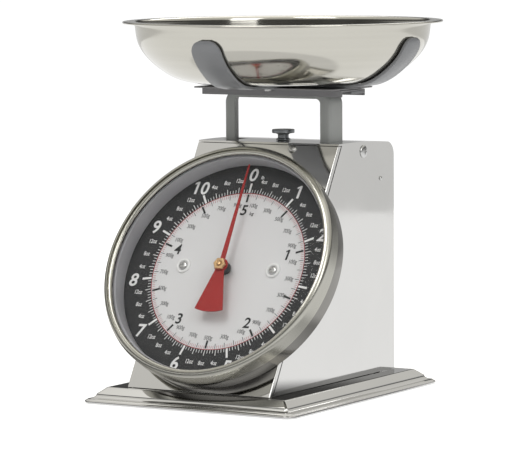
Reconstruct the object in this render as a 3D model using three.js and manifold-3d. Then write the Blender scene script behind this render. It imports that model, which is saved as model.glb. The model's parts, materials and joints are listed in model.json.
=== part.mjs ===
// Mechanical kitchen scale: a round dial on a tilted panel, a folded steel housing on a stepped
// base, and a yoke that stands out of the housing top and carries a cradle with a loose bowl.
// Inside, two springs hold the yoke, and a rack and pinion turn the pointer.
// Millimetres. X runs to the right, Y to the back, Z up. The dial faces the front, -Y.
import * as THREE from 'three';
import { mergeVertices } from 'three/addons/utils/BufferGeometryUtils.js';
import Module from 'manifold-3d';

const wasm = await Module();
wasm.setup();

// Driving dimensions

const SHEET = 1.2;            // sheet steel of the housing, base and dial drum
const GAP = 0.3;              // clearance between pieces that rest on each other

const BASE_HALF_WIDTH = 83.8;
const BASE_HALF_DEPTH = 104.5;
const BASE_HEIGHT = 10.7;
const BASE_EDGE = 0.8;        // height of the base's bottom edge over the table
const BASE_CORNER = 7;

const HOUSING_HALF_WIDTH = 56.9;
const HOUSING_HALF_DEPTH = 87.15;
const HOUSING_TOP = 175.6;
const HOUSING_TOP_REAR = 173.6;
const HOUSING_CORNER = 10;
const PANEL_TOP_Y = 8.7;      // where the tilted panel's plane meets the housing top
const PANEL_EDGE_RADIUS = 2.5;
const PANEL_RETURN = 3.5;     // depth of the panel's folded side edges

const DIAL_UP_PANEL = 88.9;   // from the panel's bottom edge to the dial axis, along the panel
const DRUM_RADIUS = 86;
const DRUM_DEPTH = 19.2;
const BEZEL_RADIUS = 87.5;
const BEZEL_FRONT = 25;
const BEZEL_OPENING = 81.2;
const DIAL_FACE = 5.6;        // height of the dial face over the panel
const POINTER_LEVEL = 14.6;
const SHAFT_END = POINTER_LEVEL + 4.2;
const POINTER_LENGTH = 77;
const POINTER_TAIL = 35;
const POINTER_TAIL_ANGLE = 18.7 * Math.PI / 180;
const DIAL_SCREW_X = 36;
const DIAL_SCREW_UP = 2;
const DIAL_SCREW_HOLE = 1.9;

const WEIGH_Y = 29.5;         // vertical axis of the knob, yoke, platform, cradle and bowl
const WEIGH_TRAVEL = 16.3;    // drop of the platform at full load
const YOKE_HALF_WIDTH = 43.2;
const YOKE_DEPTH = 17;
const YOKE_SHEET = 1.5;
const YOKE_TOP = 211;
const YOKE_BOTTOM = 104;
const YOKE_FLANGE = 8.6;      // width of the yoke's front flange on the legs
const YOKE_WINDOW_TOP = 205.8;

const TRAY_HALF_WIDTH = 56.8;
const TRAY_HALF_DEPTH = 16.5;
const TRAY_BOTTOM = 207.8;
const TRAY_TOP = 212.5;
const TOP_SHEET_HALF_DEPTH = 28.3;
const TOP_SHEET_TOP = 213.8;

const ARM_WIDTH = 23;
const ARM_SHEET = 2;
const ARM_TIP = 249.5;
const ARM_START = 12;

const BOWL_RIM = 260;
const BOWL_RADIUS = 112.5;
const BOWL_SHEET = 1;
const BOWL_BOTTOM = 216.5;

const KNOB_RADIUS = 8;
const KNOB_TOP = 183.5;

const PINION_TEETH = 10;
const GEAR_MODULE = 0.6;
const TOOTH_PLAY = 0.3;
const GEAR_BACK = -21.5;      // rear face of the pinion, behind the panel
const GEAR_FRONT = -14.5;
const SHAFT_RADIUS = 1.5;

// Values worked out from the driving dimensions

const PANEL_TILT = Math.atan2(PANEL_TOP_Y + HOUSING_HALF_DEPTH, HOUSING_TOP - BASE_HEIGHT);
const TILT_SIN = Math.sin(PANEL_TILT);
const TILT_COS = Math.cos(PANEL_TILT);
const DIAL_Y = -HOUSING_HALF_DEPTH + DIAL_UP_PANEL * TILT_SIN;
const DIAL_Z = BASE_HEIGHT + DIAL_UP_PANEL * TILT_COS;
const HOUSING_FLOOR = BASE_HEIGHT + GAP;
const PITCH_RADIUS = GEAR_MODULE * PINION_TEETH / 2;
const YOKE_FRONT = WEIGH_Y - YOKE_DEPTH / 2;
const YOKE_BACK = WEIGH_Y + YOKE_DEPTH / 2;

// The model stands with the middle of its overall depth at Y = 0. The bezel is the foremost
// piece and the bowl's rim the rearmost one.
const BEZEL_ROUNDING = 4;
const BEZEL_FOREMOST = onPanel(-(BEZEL_RADIUS - BEZEL_ROUNDING), BEZEL_FRONT - BEZEL_ROUNDING).y
  - BEZEL_ROUNDING;
const DEPTH_SHIFT = -(BEZEL_FOREMOST + WEIGH_Y + BOWL_RADIUS) / 2;

// Y and Z of a point given by its distance up the panel and out from it, at the dial axis.
function onPanel(up, out) {
  return {
    y: DIAL_Y + up * TILT_SIN - out * TILT_COS,
    z: DIAL_Z + up * TILT_COS + out * TILT_SIN,
  };
}

// Y of the plane that lies the given distance out from the panel, at a height Z.
function panelPlaneY(z, out) {
  return -HOUSING_HALF_DEPTH + (z - BASE_HEIGHT) * TILT_SIN / TILT_COS - out / TILT_COS;
}

// Materials

const paint = (color, roughness, metalness) => new THREE.MeshStandardMaterial({
  color, roughness, metalness,
});
const polishedSteel = paint(0xc8c6bc, 0.12, 1);
const brushedSteel = paint(0xa5a396, 0.3, 1);
const greyPaint = paint(0x7d807e, 0.45, 0.3);
const dialWhite = paint(0xd8d8d8, 0.5, 0);
const spacerGrey = paint(0xafafb4, 0.5, 0);
const redPlastic = paint(0xa8322d, 0.4, 0);
const blackPlastic = paint(0x1c1c1e, 0.5, 0);
const blackRubber = paint(0x202020, 0.9, 0);
const brass = paint(0xc8965a, 0.3, 1);
const zincSteel = paint(0x9a9a96, 0.4, 1);
const clearPlastic = new THREE.MeshStandardMaterial({
  color: 0xf2f4f5, roughness: 0.05, metalness: 0, transparent: true, opacity: 0.2,
});

// Geometry helpers

// A copy with merged corners, no empty triangles and its faces pointing out.
function closed(geometry) {
  const bare = geometry.clone();
  bare.deleteAttribute('normal');
  bare.deleteAttribute('uv');
  const merged = mergeVertices(bare, 1e-4);
  const corners = merged.getAttribute('position');
  const order = merged.getIndex().array;
  const kept = [];
  let volume = 0;
  const [a, b, c] = [new THREE.Vector3(), new THREE.Vector3(), new THREE.Vector3()];
  for (let i = 0; i < order.length; i += 3) {
    const [p, q, r] = [order[i], order[i + 1], order[i + 2]];
    if (p === q || q === r || r === p) {
      continue;
    }
    kept.push(p, q, r);
    a.fromBufferAttribute(corners, p);
    b.fromBufferAttribute(corners, q);
    c.fromBufferAttribute(corners, r);
    volume += a.dot(b.cross(c));
  }
  if (volume < 0) {
    kept.reverse();
  }
  merged.setIndex(kept);
  return merged;
}

function solid(geometry) {
  const shape = closed(geometry);
  return new wasm.Manifold(new wasm.Mesh({
    numProp: 3,
    vertProperties: new Float32Array(shape.getAttribute('position').array),
    triVerts: new Uint32Array(shape.getIndex().array),
  }));
}

function geometryOf(manifold) {
  const mesh = manifold.getMesh();
  const geometry = new THREE.BufferGeometry();
  geometry.setAttribute('position', new THREE.BufferAttribute(mesh.vertProperties, 3));
  geometry.setIndex(new THREE.BufferAttribute(mesh.triVerts, 1));
  return geometry;
}

const join = (first, ...others) => geometryOf(others.reduce(
  (whole, other) => whole.add(solid(other)), solid(first)));
const cut = (first, ...others) => geometryOf(others.reduce(
  (whole, other) => whole.subtract(solid(other)), solid(first)));
const common = (first, other) => geometryOf(solid(first).intersect(solid(other)));

function box([x0, x1], [y0, y1], [z0, z1]) {
  const block = new THREE.BoxGeometry(x1 - x0, y1 - y0, z1 - z0);
  return block.translate((x0 + x1) / 2, (y0 + y1) / 2, (z0 + z1) / 2);
}

// A disc or rod along Z.
function disc(radius, [z0, z1], sides = 12) {
  const rod = new THREE.CylinderGeometry(radius, radius, z1 - z0, sides).rotateX(Math.PI / 2);
  return rod.translate(0, 0, (z0 + z1) / 2);
}

// A rod along X.
function rodX(radius, [x0, x1], y, z, sides = 12) {
  const rod = new THREE.CylinderGeometry(radius, radius, x1 - x0, sides).rotateZ(Math.PI / 2);
  return rod.translate((x0 + x1) / 2, y, z);
}

// A solid of revolution about Z from points [radius, height].
function turned(profile, sides = 12) {
  const points = profile.map(([radius, height]) => new THREE.Vector2(radius, height));
  return new THREE.LatheGeometry(points, sides).rotateX(Math.PI / 2);
}

// A ring turned about Z: the same, from a profile that closes on itself.
const ring = (profile, sides = 12) => turned([...profile, profile[0]], sides);

const shapeOf = (points) => new THREE.Shape(points.map(([u, v]) => new THREE.Vector2(u, v)));

function extruded(shape, depth, curveSegments = 6) {
  return new THREE.ExtrudeGeometry(shape, { depth, bevelEnabled: false, curveSegments });
}

// An outline in Y and Z, drawn out along X.
function prismX(points, [x0, x1]) {
  const axes = new THREE.Matrix4().makeBasis(
    new THREE.Vector3(0, 1, 0), new THREE.Vector3(0, 0, 1), new THREE.Vector3(1, 0, 0));
  return extruded(shapeOf(points), x1 - x0).applyMatrix4(axes).translate(x0, 0, 0);
}

// An outline in X and Z, drawn out along Y.
function prismY(shape, [y0, y1]) {
  return extruded(shape, y1 - y0).rotateX(Math.PI / 2).translate(0, y1, 0);
}

// An outline in X and Y, drawn out along Z.
function prismZ(shape, [z0, z1]) {
  return extruded(shape, z1 - z0).translate(0, 0, z0);
}

// Points on a circular arc, the ends included.
function arc(centreU, centreV, radius, from, to, steps) {
  return Array.from({ length: steps + 1 }, (_, i) => {
    const angle = from + (to - from) * i / steps;
    return [centreU + radius * Math.cos(angle), centreV + radius * Math.sin(angle)];
  });
}

// A rectangle about the origin with four rounded corners.
function roundedRectangle(halfX, halfY, radius, steps = 2) {
  const corners = [[1, 1], [-1, 1], [-1, -1], [1, -1]];
  return corners.flatMap(([sideX, sideY], i) => arc(
    sideX * (halfX - radius), sideY * (halfY - radius), radius,
    i * Math.PI / 2, (i + 1) * Math.PI / 2, steps));
}

// A solid skinned over outlines of equal point counts, stacked from the bottom up.
function lofted(levels) {
  const count = levels[0].points.length;
  const positions = levels.flatMap(({ points, z }) => points.flatMap(([x, y]) => [x, y, z]));
  const faces = [];
  for (let level = 0; level < levels.length - 1; level += 1) {
    for (let i = 0; i < count; i += 1) {
      const next = (i + 1) % count;
      const low = level * count;
      const high = low + count;
      faces.push(low + i, low + next, high + next, low + i, high + next, high + i);
    }
  }
  const top = (levels.length - 1) * count;
  const capOf = (level) => THREE.ShapeUtils.triangulateShape(
    level.points.map(([x, y]) => new THREE.Vector2(x, y)), []);
  capOf(levels[0]).forEach(([i, j, k]) => faces.push(i, k, j));
  capOf(levels[levels.length - 1]).forEach(([i, j, k]) => faces.push(top + i, top + j, top + k));
  const geometry = new THREE.BufferGeometry();
  geometry.setAttribute('position', new THREE.Float32BufferAttribute(positions, 3));
  geometry.setIndex(faces);
  return geometry;
}

function addPiece(parent, name, geometry, material) {
  const shape = closed(geometry);
  shape.computeVertexNormals();
  const mesh = new THREE.Mesh(shape, material);
  mesh.name = name;
  parent.add(mesh);
  return mesh;
}

// Groups. The dial group lies on the panel: its X runs right, Y up the panel, Z out of it.

const kitchenScale = new THREE.Group();
const body = new THREE.Group();
body.position.y = DEPTH_SHIFT;
kitchenScale.add(body);
const dial = new THREE.Group();
dial.position.set(0, DIAL_Y, DIAL_Z);
dial.rotation.x = Math.PI / 2 - PANEL_TILT;
body.add(dial);
dial.updateMatrix();
const panelMatrix = dial.matrix.clone();

// Base

// Each level of the base is its distance in from the outline and its height. The cove between the
// lip and the slope is a quarter of an ellipse.
const COVE = { start: 2, width: 5.3, height: 3.2, top: 6.3 };
const coveLevels = arc(0, 0, 1, -Math.PI / 2, 0, 4).map(
  ([u, v]) => [COVE.start + COVE.width * u, COVE.top + COVE.height * v]);
const BASE_OUTSIDE = [
  [0.4, BASE_EDGE], [0, 1.3], [0, 2.1], [0.7, 2.8], ...coveLevels,
  [12.4, 10.3], [13.2, BASE_HEIGHT],
];
const BASE_INSIDE = [[1.4, 0], [1.4, 1.2], [3.4, 1.8], [8, 2.2], [8.9, 5.2], [14, 9.5]];
const BASE_LEAST_CORNER = 2.5;
const baseLevels = (levels) => lofted(levels.map(([inset, z]) => ({
  points: roundedRectangle(BASE_HALF_WIDTH - inset, BASE_HALF_DEPTH - inset,
    Math.max(BASE_CORNER - inset, BASE_LEAST_CORNER)),
  z,
})));

const BASE_SCREW_X = 51;
const BASE_SCREW_YS = [-62, 72];
const BASE_SCREW_HOLE = 2.4;
const FOOT_X = 64;
const FOOT_Y = 84;
const FOOT_HOLE = 3.4;

const fourBaseHoles = (heights) => [-1, 1].flatMap((side) => BASE_SCREW_YS.map(
  (y) => disc(BASE_SCREW_HOLE, heights).translate(side * BASE_SCREW_X, y, 0)));
addPiece(body, 'base_plinth', cut(
  baseLevels(BASE_OUTSIDE), baseLevels(BASE_INSIDE), ...fourBaseHoles([8, 12])),
polishedSteel);

const COVER_INSET = 9.8;
const coverOutline = shapeOf(roundedRectangle(
  BASE_HALF_WIDTH - COVER_INSET, BASE_HALF_DEPTH - COVER_INSET, 4));
const footPlaces = [[-1, -1, 'front_left'], [1, -1, 'front_right'],
  [-1, 1, 'rear_left'], [1, 1, 'rear_right']];
addPiece(body, 'bottom_cover', cut(
  prismZ(coverOutline, [2.4, 3.4]),
  ...footPlaces.map(([x, y]) => disc(FOOT_HOLE, [0, 5], 16).translate(x * FOOT_X, y * FOOT_Y, 0))),
zincSteel);

// Rubber feet, pushed through the bottom cover
for (const [x, y, place] of footPlaces) {
  const foot = turned([
    [0, 0], [7, 0], [7.5, 0.5], [7.5, 2.1], [3, 2.1], [3, 3.7], [4.2, 4], [2.6, 6.5], [0, 6.5],
  ]);
  addPiece(body, `foot_${place}`, foot, blackRubber).position.set(x * FOOT_X, y * FOOT_Y, 0);
}

// Screws that hold the housing's bottom flanges to the base, with their heads under the deck
for (const side of [-1, 1]) {
  BASE_SCREW_YS.forEach((y, i) => {
    const screw = turned([[0, 7], [3.4, 7], [3.8, 9.2], [2, 9.2], [2, 15], [0, 15]]);
    const name = `base_screw_${i === 0 ? 'front' : 'rear'}_${side < 0 ? 'left' : 'right'}`;
    addPiece(body, name, screw, zincSteel).position.set(side * BASE_SCREW_X, y, 0);
  });
}

// Housing

const roofLine = new THREE.QuadraticBezierCurve(
  new THREE.Vector2(PANEL_TOP_Y, HOUSING_TOP),
  new THREE.Vector2(46, HOUSING_TOP + 0.8),
  new THREE.Vector2(HOUSING_HALF_DEPTH - HOUSING_CORNER, HOUSING_TOP_REAR));

// Side outline of the housing, taken in from its outside by a sheet thickness or nothing.
function housingOutline(inset, floor, front) {
  const corner = HOUSING_CORNER - inset;
  const roof = roofLine.getPoints(6).map(({ x, y }) => [x, y - inset]);
  const rear = arc(HOUSING_HALF_DEPTH - HOUSING_CORNER, HOUSING_TOP_REAR - HOUSING_CORNER,
    corner, Math.PI / 2, 0, 5).slice(1);
  return [[panelPlaneY(floor, front), floor], ...roof, ...rear,
    [HOUSING_HALF_DEPTH - inset, floor]];
}

const hollowHalfWidth = HOUSING_HALF_WIDTH - SHEET;
const housingHollow = prismX(
  [[-HOUSING_HALF_DEPTH * 2, 0], [-HOUSING_HALF_DEPTH, HOUSING_TOP - SHEET],
    ...housingOutline(SHEET, 0, 0).slice(1)],
  [-hollowHalfWidth, hollowHalfWidth]);
const seamOut = -(PANEL_RETURN + GAP);
const roofUnderside = HOUSING_TOP - SHEET;
const panelSpace = prismX(
  [[-2 * HOUSING_HALF_DEPTH, 0], [panelPlaneY(0, seamOut), 0],
    [panelPlaneY(roofUnderside, seamOut), roofUnderside],
    [-2 * HOUSING_HALF_DEPTH, roofUnderside]],
  [-HOUSING_HALF_WIDTH - 1, HOUSING_HALF_WIDTH + 1]);
const SLOT_CLEARANCE = 0.9;   // between the yoke's legs and the slots in the roof
const acrossRoof = [165, 185];
const sided = (side, [inner, outer]) => (side < 0 ? [-outer, -inner] : [inner, outer]);
const legSlots = [-1, 1].map((side) => box(
  sided(side, [YOKE_HALF_WIDTH - YOKE_FLANGE - SLOT_CLEARANCE, YOKE_HALF_WIDTH + SLOT_CLEARANCE]),
  [YOKE_FRONT - SLOT_CLEARANCE, YOKE_BACK + SLOT_CLEARANCE], acrossRoof));
const KNOB_HOLE = 4.4;
const knobHole = disc(KNOB_HOLE, acrossRoof).translate(0, WEIGH_Y, 0);
const SIDE_SCREW = { y: 43, z: 168.5, hole: 2.3 };
const SIDE_RIVET = { y: 67.5, z: 148.2, hole: 1.2 };
const REAR_RIVET_ZS = [104, 156];
const REAR_RIVET_HOLE = 2.4;
const sideHoles = [SIDE_SCREW, SIDE_RIVET].map(({ y, z, hole }) => rodX(hole, [-60, 60], y, z));
const rearHoles = REAR_RIVET_ZS.map((z) => disc(REAR_RIVET_HOLE, [-10, 10], 16)
  .rotateX(Math.PI / 2).translate(0, HOUSING_HALF_DEPTH, z));
// Flanges folded in along the bottom of the sides, which sink half a millimetre into the walls
const FLANGE_WIDTH = 9;
const FLANGE_FRONT = -70;
const baseFlange = (side) => box(
  sided(side, [hollowHalfWidth - FLANGE_WIDTH, hollowHalfWidth + 0.5]),
  [FLANGE_FRONT, HOUSING_HALF_DEPTH - 0.5], [HOUSING_FLOOR, HOUSING_FLOOR + SHEET]);
const housingWalls = cut(
  prismX(housingOutline(0, HOUSING_FLOOR, 0), [-HOUSING_HALF_WIDTH, HOUSING_HALF_WIDTH]),
  housingHollow, panelSpace, ...legSlots, knobHole, ...sideHoles, ...rearHoles);
addPiece(body, 'housing_shell', cut(
  join(housingWalls, baseFlange(-1), baseFlange(1)), ...fourBaseHoles([8, 14])),
polishedSteel);

// Front panel: a tilted sheet with rounded, folded side edges
const panelTopZ = roofUnderside - GAP;
const panelSlab = (depth, [x0, x1]) => prismX([
  [panelPlaneY(HOUSING_FLOOR, 0), HOUSING_FLOOR], [panelPlaneY(panelTopZ, 0), panelTopZ],
  [panelPlaneY(panelTopZ, -depth), panelTopZ],
  [panelPlaneY(HOUSING_FLOOR, -depth), HOUSING_FLOOR]], [x0, x1]);
const panelRounding = extruded(shapeOf([
  [-HOUSING_HALF_WIDTH, -20],
  ...arc(-HOUSING_HALF_WIDTH + PANEL_EDGE_RADIUS, -PANEL_EDGE_RADIUS, PANEL_EDGE_RADIUS,
    Math.PI, Math.PI / 2, 4),
  ...arc(HOUSING_HALF_WIDTH - PANEL_EDGE_RADIUS, -PANEL_EDGE_RADIUS, PANEL_EDGE_RADIUS,
    Math.PI / 2, 0, 4),
  [HOUSING_HALF_WIDTH, -20]]), 260).rotateX(Math.PI / 2).translate(0, 130, 0)
  .applyMatrix4(panelMatrix);
const panelHole = (x, up, radius) => disc(radius, [-10, 10], 16).translate(x, up, 0)
  .applyMatrix4(panelMatrix);
const PANEL_SCREW_X = 21;
const PANEL_SCREW_UP = 97;
const PANEL_SCREW_HOLE = 2;
const BUSH_HOLE = 4.3;
addPiece(body, 'front_panel', cut(
  common(join(panelSlab(SHEET, [-HOUSING_HALF_WIDTH, HOUSING_HALF_WIDTH]),
    panelSlab(PANEL_RETURN, [-HOUSING_HALF_WIDTH, -hollowHalfWidth]),
    panelSlab(PANEL_RETURN, [hollowHalfWidth, HOUSING_HALF_WIDTH])), panelRounding),
  panelHole(0, 0, BUSH_HOLE),
  ...[-1, 1].flatMap((side) => [
    panelHole(side * DIAL_SCREW_X, DIAL_SCREW_UP, DIAL_SCREW_HOLE),
    panelHole(side * PANEL_SCREW_X, PANEL_SCREW_UP, PANEL_SCREW_HOLE)])),
polishedSteel);

for (const [side, name] of [[-1, 'left'], [1, 'right']]) {
  const panelScrew = turned([[0, -7], [1.6, -7], [1.6, GAP], [3, GAP], [2.6, 1.4], [0, 1.6]]);
  addPiece(dial, `panel_screw_${name}`, panelScrew, zincSteel)
    .position.set(side * PANEL_SCREW_X, PANEL_SCREW_UP, 0);
  const sideScrew = turned([[0, -6], [1.9, -6], [1.9, GAP], [4.5, GAP], [4.2, 1], [0, 1.5]], 16);
  const screw = addPiece(body, `side_screw_${name}`, sideScrew, zincSteel);
  screw.position.set(side * HOUSING_HALF_WIDTH, SIDE_SCREW.y, SIDE_SCREW.z);
  screw.rotation.y = side * Math.PI / 2;
  const rivet = addPiece(body, `side_rivet_${name}`,
    turned([[0, -3], [0.9, -3], [0.9, GAP], [1.6, GAP], [1.2, 0.9], [0, 1.1]]), zincSteel);
  rivet.position.set(side * HOUSING_HALF_WIDTH, SIDE_RIVET.y, SIDE_RIVET.z);
  rivet.rotation.y = side * Math.PI / 2;
}

// Dial

const ROUND = 40;             // sides of the large round pieces
const DRUM_HOLE = 12;
const LENS_RADIUS = 85.8;
const PLATE_RADIUS = 84.3;
const dialScrewHoles = (heights) => [-1, 1].map(
  (side) => disc(DIAL_SCREW_HOLE, heights).translate(side * DIAL_SCREW_X, DIAL_SCREW_UP, 0));
addPiece(dial, 'dial_drum', cut(
  ring([[DRUM_HOLE, GAP], [DRUM_RADIUS, GAP], [DRUM_RADIUS, DRUM_DEPTH],
    [DRUM_RADIUS - SHEET, DRUM_DEPTH], [DRUM_RADIUS - SHEET, GAP + SHEET],
    [DRUM_HOLE, GAP + SHEET]], ROUND),
  ...dialScrewHoles([-1, 3])),
polishedSteel);

// The lens lies on the drum's edge, and the bezel's skirt grips the drum round both.
const LENS_THICKNESS = 1.5;
const LENS_HEIGHTS = [DRUM_DEPTH + GAP, DRUM_DEPTH + GAP + LENS_THICKNESS];
const BEZEL_SKIRT = { inside: DRUM_RADIUS + GAP, bottom: 12, step: LENS_HEIGHTS[1] + GAP };
const bezelEdge = arc(BEZEL_RADIUS - BEZEL_ROUNDING, BEZEL_FRONT - BEZEL_ROUNDING, BEZEL_ROUNDING,
  0, Math.PI / 2, 4);
addPiece(dial, 'bezel_ring', ring([
  [BEZEL_SKIRT.inside, BEZEL_SKIRT.bottom], [BEZEL_RADIUS, BEZEL_SKIRT.bottom], ...bezelEdge,
  [84.2, BEZEL_FRONT - 0.7], [83.4, BEZEL_FRONT - 1.4], [82.6, BEZEL_FRONT - 1.6],
  [BEZEL_OPENING + 0.5, BEZEL_FRONT - 2.4], [BEZEL_OPENING, BEZEL_SKIRT.step],
  [BEZEL_SKIRT.inside, BEZEL_SKIRT.step]], ROUND),
brushedSteel);

addPiece(dial, 'dial_lens', disc(LENS_RADIUS, LENS_HEIGHTS, ROUND), clearPlastic);
addPiece(dial, 'dial_spacer_ring', ring([
  [80.5, DIAL_FACE + GAP], [82.5, DIAL_FACE + GAP], [82.5, DRUM_DEPTH], [80.2, DRUM_DEPTH]], ROUND),
spacerGrey);
const DIAL_SHEET = 1;
addPiece(dial, 'dial_plate', cut(
  disc(PLATE_RADIUS, [DIAL_FACE - DIAL_SHEET, DIAL_FACE], ROUND), disc(2.6, [0, 20]),
  ...dialScrewHoles([0, 20])),
dialWhite);

for (const [side, name] of [[-1, 'left'], [1, 'right']]) {
  const [postBottom, postTop] = [GAP * 2 + SHEET, DIAL_FACE - DIAL_SHEET - GAP];
  const post = ring([[DIAL_SCREW_HOLE, postBottom], [4, postBottom], [4, postTop],
    [DIAL_SCREW_HOLE, postTop]]);
  addPiece(dial, `dial_post_${name}`, post, zincSteel)
    .position.set(side * DIAL_SCREW_X, DIAL_SCREW_UP, 0);
  const head = DIAL_FACE + GAP;
  const screw = turned([[0, -7], [1.5, -7], [1.5, head], [3.4, head], [3.2, head + 1.2],
    [2, head + 1.8], [0, head + 1.8]], 16);
  addPiece(dial, `dial_screw_${name}`, screw, zincSteel)
    .position.set(side * DIAL_SCREW_X, DIAL_SCREW_UP, 0);
}

// Pointer: a slim needle with a fan-shaped counterweight, on a hub, under a hexagonal nut
const needleHalfWidth = 1.9;
const needleTipHalfWidth = 0.55;
const pointerEye = 5.2;
const POINTER_TAIL_MIDDLE = 1.5 * Math.PI;
const pointerOutline = shapeOf([
  [needleTipHalfWidth, POINTER_LENGTH], [-needleTipHalfWidth, POINTER_LENGTH],
  [-needleHalfWidth, 5],
  ...arc(0, 0, pointerEye, Math.PI * 0.62, Math.PI * 1.28, 5),
  ...arc(0, 0, POINTER_TAIL, POINTER_TAIL_MIDDLE - POINTER_TAIL_ANGLE,
    POINTER_TAIL_MIDDLE + POINTER_TAIL_ANGLE, 8),
  ...arc(0, 0, pointerEye, -Math.PI * 0.28, Math.PI * 0.38, 5),
  [needleHalfWidth, 5]]);
const SHAFT_HOLE = SHAFT_RADIUS + GAP;
const shaftHole = disc(SHAFT_HOLE, [0, 30]);
addPiece(dial, 'pointer', cut(
  prismZ(pointerOutline, [POINTER_LEVEL, POINTER_LEVEL + 0.8]), shaftHole),
redPlastic);
const [hubBottom, hubTop] = [POINTER_LEVEL - 6.3, POINTER_LEVEL - GAP];
addPiece(dial, 'pointer_hub', ring([
  [SHAFT_HOLE, hubBottom], [4.6, hubBottom], [4.6, hubBottom + 2.5], [3.4, hubTop],
  [SHAFT_HOLE, hubTop]]),
blackPlastic);
const nutHeights = [POINTER_LEVEL + 1.1, POINTER_LEVEL + 3.8];
addPiece(dial, 'pointer_nut', cut(disc(4.6, nutHeights, 6), shaftHole), brass);

// Pinion shaft: the pinion is cut on the shaft
const addendum = 0.55;
const dedendum = 0.75;
const toothPitch = Math.PI * GEAR_MODULE;
const toothHalf = toothPitch / 4 - TOOTH_PLAY / 2;
function pinionOutline() {
  const polar = (radius, angle) => [radius * Math.cos(angle), radius * Math.sin(angle)];
  const rootRadius = PITCH_RADIUS - dedendum;
  const tipRadius = PITCH_RADIUS + addendum;
  return shapeOf(Array.from({ length: PINION_TEETH }, (_, i) => {
    const middle = i * 2 * Math.PI / PINION_TEETH;
    return [
      polar(rootRadius, middle - (toothHalf + 0.1) / rootRadius),
      polar(PITCH_RADIUS, middle - toothHalf / PITCH_RADIUS),
      polar(tipRadius, middle - toothHalf * 0.45 / tipRadius),
      polar(tipRadius, middle + toothHalf * 0.45 / tipRadius),
      polar(PITCH_RADIUS, middle + toothHalf / PITCH_RADIUS),
      polar(rootRadius, middle + (toothHalf + 0.1) / rootRadius),
    ];
  }).flat());
}
addPiece(dial, 'pinion_shaft', join(
  disc(SHAFT_RADIUS, [-33, SHAFT_END]), prismZ(pinionOutline(), [GEAR_BACK, GEAR_FRONT])),
brass);

// Rack: slides along the panel beside the pinion, and a pin on it rides in the drive arm's slot
const RACK_BACK = PITCH_RADIUS + 3.8;
const RACK_PIN_UP = 36;
const RACK_PIN_RADIUS = 1.5;
const RACK_FACES = [-21, -15];
const rackTeeth = Array.from({ length: 15 }, (_, i) => {
  const middle = (i - 1.5) * toothPitch;
  const flank = Math.tan(Math.PI / 9);
  const [tip, root] = [toothHalf - addendum * flank, toothHalf + dedendum * flank];
  return [
    [PITCH_RADIUS + dedendum, middle - root], [PITCH_RADIUS - addendum, middle - tip],
    [PITCH_RADIUS - addendum, middle + tip], [PITCH_RADIUS + dedendum, middle + root],
  ];
}).flat();
const rackBar = shapeOf([
  [RACK_BACK, -5], [PITCH_RADIUS + dedendum, -5], ...rackTeeth,
  [PITCH_RADIUS + dedendum, RACK_PIN_UP + 4], [RACK_BACK, RACK_PIN_UP + 4]]);
const rackMiddle = (RACK_FACES[0] + RACK_FACES[1]) / 2;
addPiece(dial, 'rack', join(
  prismZ(rackBar, RACK_FACES),
  rodX(RACK_PIN_RADIUS, [RACK_BACK - 1, RACK_BACK + 5], RACK_PIN_UP, rackMiddle)),
zincSteel);

// Bearing bracket: a hat section screwed behind the panel, with a lug that backs up the rack
const bracketBack = -30;
const bracketFront = -SHEET - GAP;
const [brim, crown] = [44, 20];
const bracketHat = shapeOf([
  [-brim, bracketFront], [-crown, bracketFront], [-crown, bracketBack + SHEET],
  [crown, bracketBack + SHEET], [crown, bracketFront], [brim, bracketFront],
  [brim, bracketFront - SHEET], [crown + SHEET, bracketFront - SHEET],
  [crown + SHEET, bracketBack], [-crown - SHEET, bracketBack],
  [-crown - SHEET, bracketFront - SHEET], [-brim, bracketFront - SHEET]]);
const bracketUp = [-10, 12];
const bracketSheet = extruded(bracketHat, bracketUp[1] - bracketUp[0])
  .rotateX(Math.PI / 2).translate(0, bracketUp[1], 0);
addPiece(dial, 'bearing_bracket', cut(
  join(bracketSheet,
    box([RACK_BACK + GAP, RACK_BACK + GAP + 1.6], [-6, 5], [bracketBack + 0.5, -13])),
  disc(3.3, [-35, -25]), ...dialScrewHoles([-5, 0])),
zincSteel);
addPiece(dial, 'rear_bush', ring([
  [SHAFT_HOLE, -31.5], [3, -31.5], [3, -28.5], [4.8, -28.5], [4.8, -27], [SHAFT_HOLE, -27]]),
brass);
addPiece(dial, 'front_bush', ring([
  [SHAFT_HOLE, -4], [6, -4], [6, bracketFront], [4, bracketFront], [4, 3.5], [SHAFT_HOLE, 3.5]]),
brass);

// Yoke: an inverted U with a deep outer web and a narrow front flange

// An arch about the weighing axis: its half-width, top and corner radius.
function archPoints(halfWidth, top, radius, bottom) {
  return [
    [-halfWidth, bottom],
    ...arc(-halfWidth + radius, top - radius, radius, Math.PI, Math.PI / 2, 5),
    ...arc(halfWidth - radius, top - radius, radius, Math.PI / 2, 0, 5),
    [halfWidth, bottom],
  ];
}
const YOKE_CORNER = 9;
const yokeOutside = shapeOf(archPoints(YOKE_HALF_WIDTH, YOKE_TOP, YOKE_CORNER, YOKE_BOTTOM));
const yokeWebInside = shapeOf(archPoints(
  YOKE_HALF_WIDTH - YOKE_SHEET, YOKE_TOP - YOKE_SHEET, YOKE_CORNER - YOKE_SHEET, YOKE_BOTTOM - 1));
const yokeFlangeInside = shapeOf(archPoints(
  YOKE_HALF_WIDTH - YOKE_FLANGE, YOKE_WINDOW_TOP, 3.5, YOKE_BOTTOM - 1));
const LINK_LENGTH = 50;
const LINK_REAR_Y = 80;
const LINK_TILT = Math.asin(WEIGH_TRAVEL / 2 / LINK_LENGTH);
const LINK_PIN_ZS = { upper: 158, lower: 118 };
const linkFrontY = LINK_REAR_Y - LINK_LENGTH * Math.cos(LINK_TILT);
const linkSlotY = [LINK_REAR_Y - LINK_LENGTH - 2, linkFrontY + 2];
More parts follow.
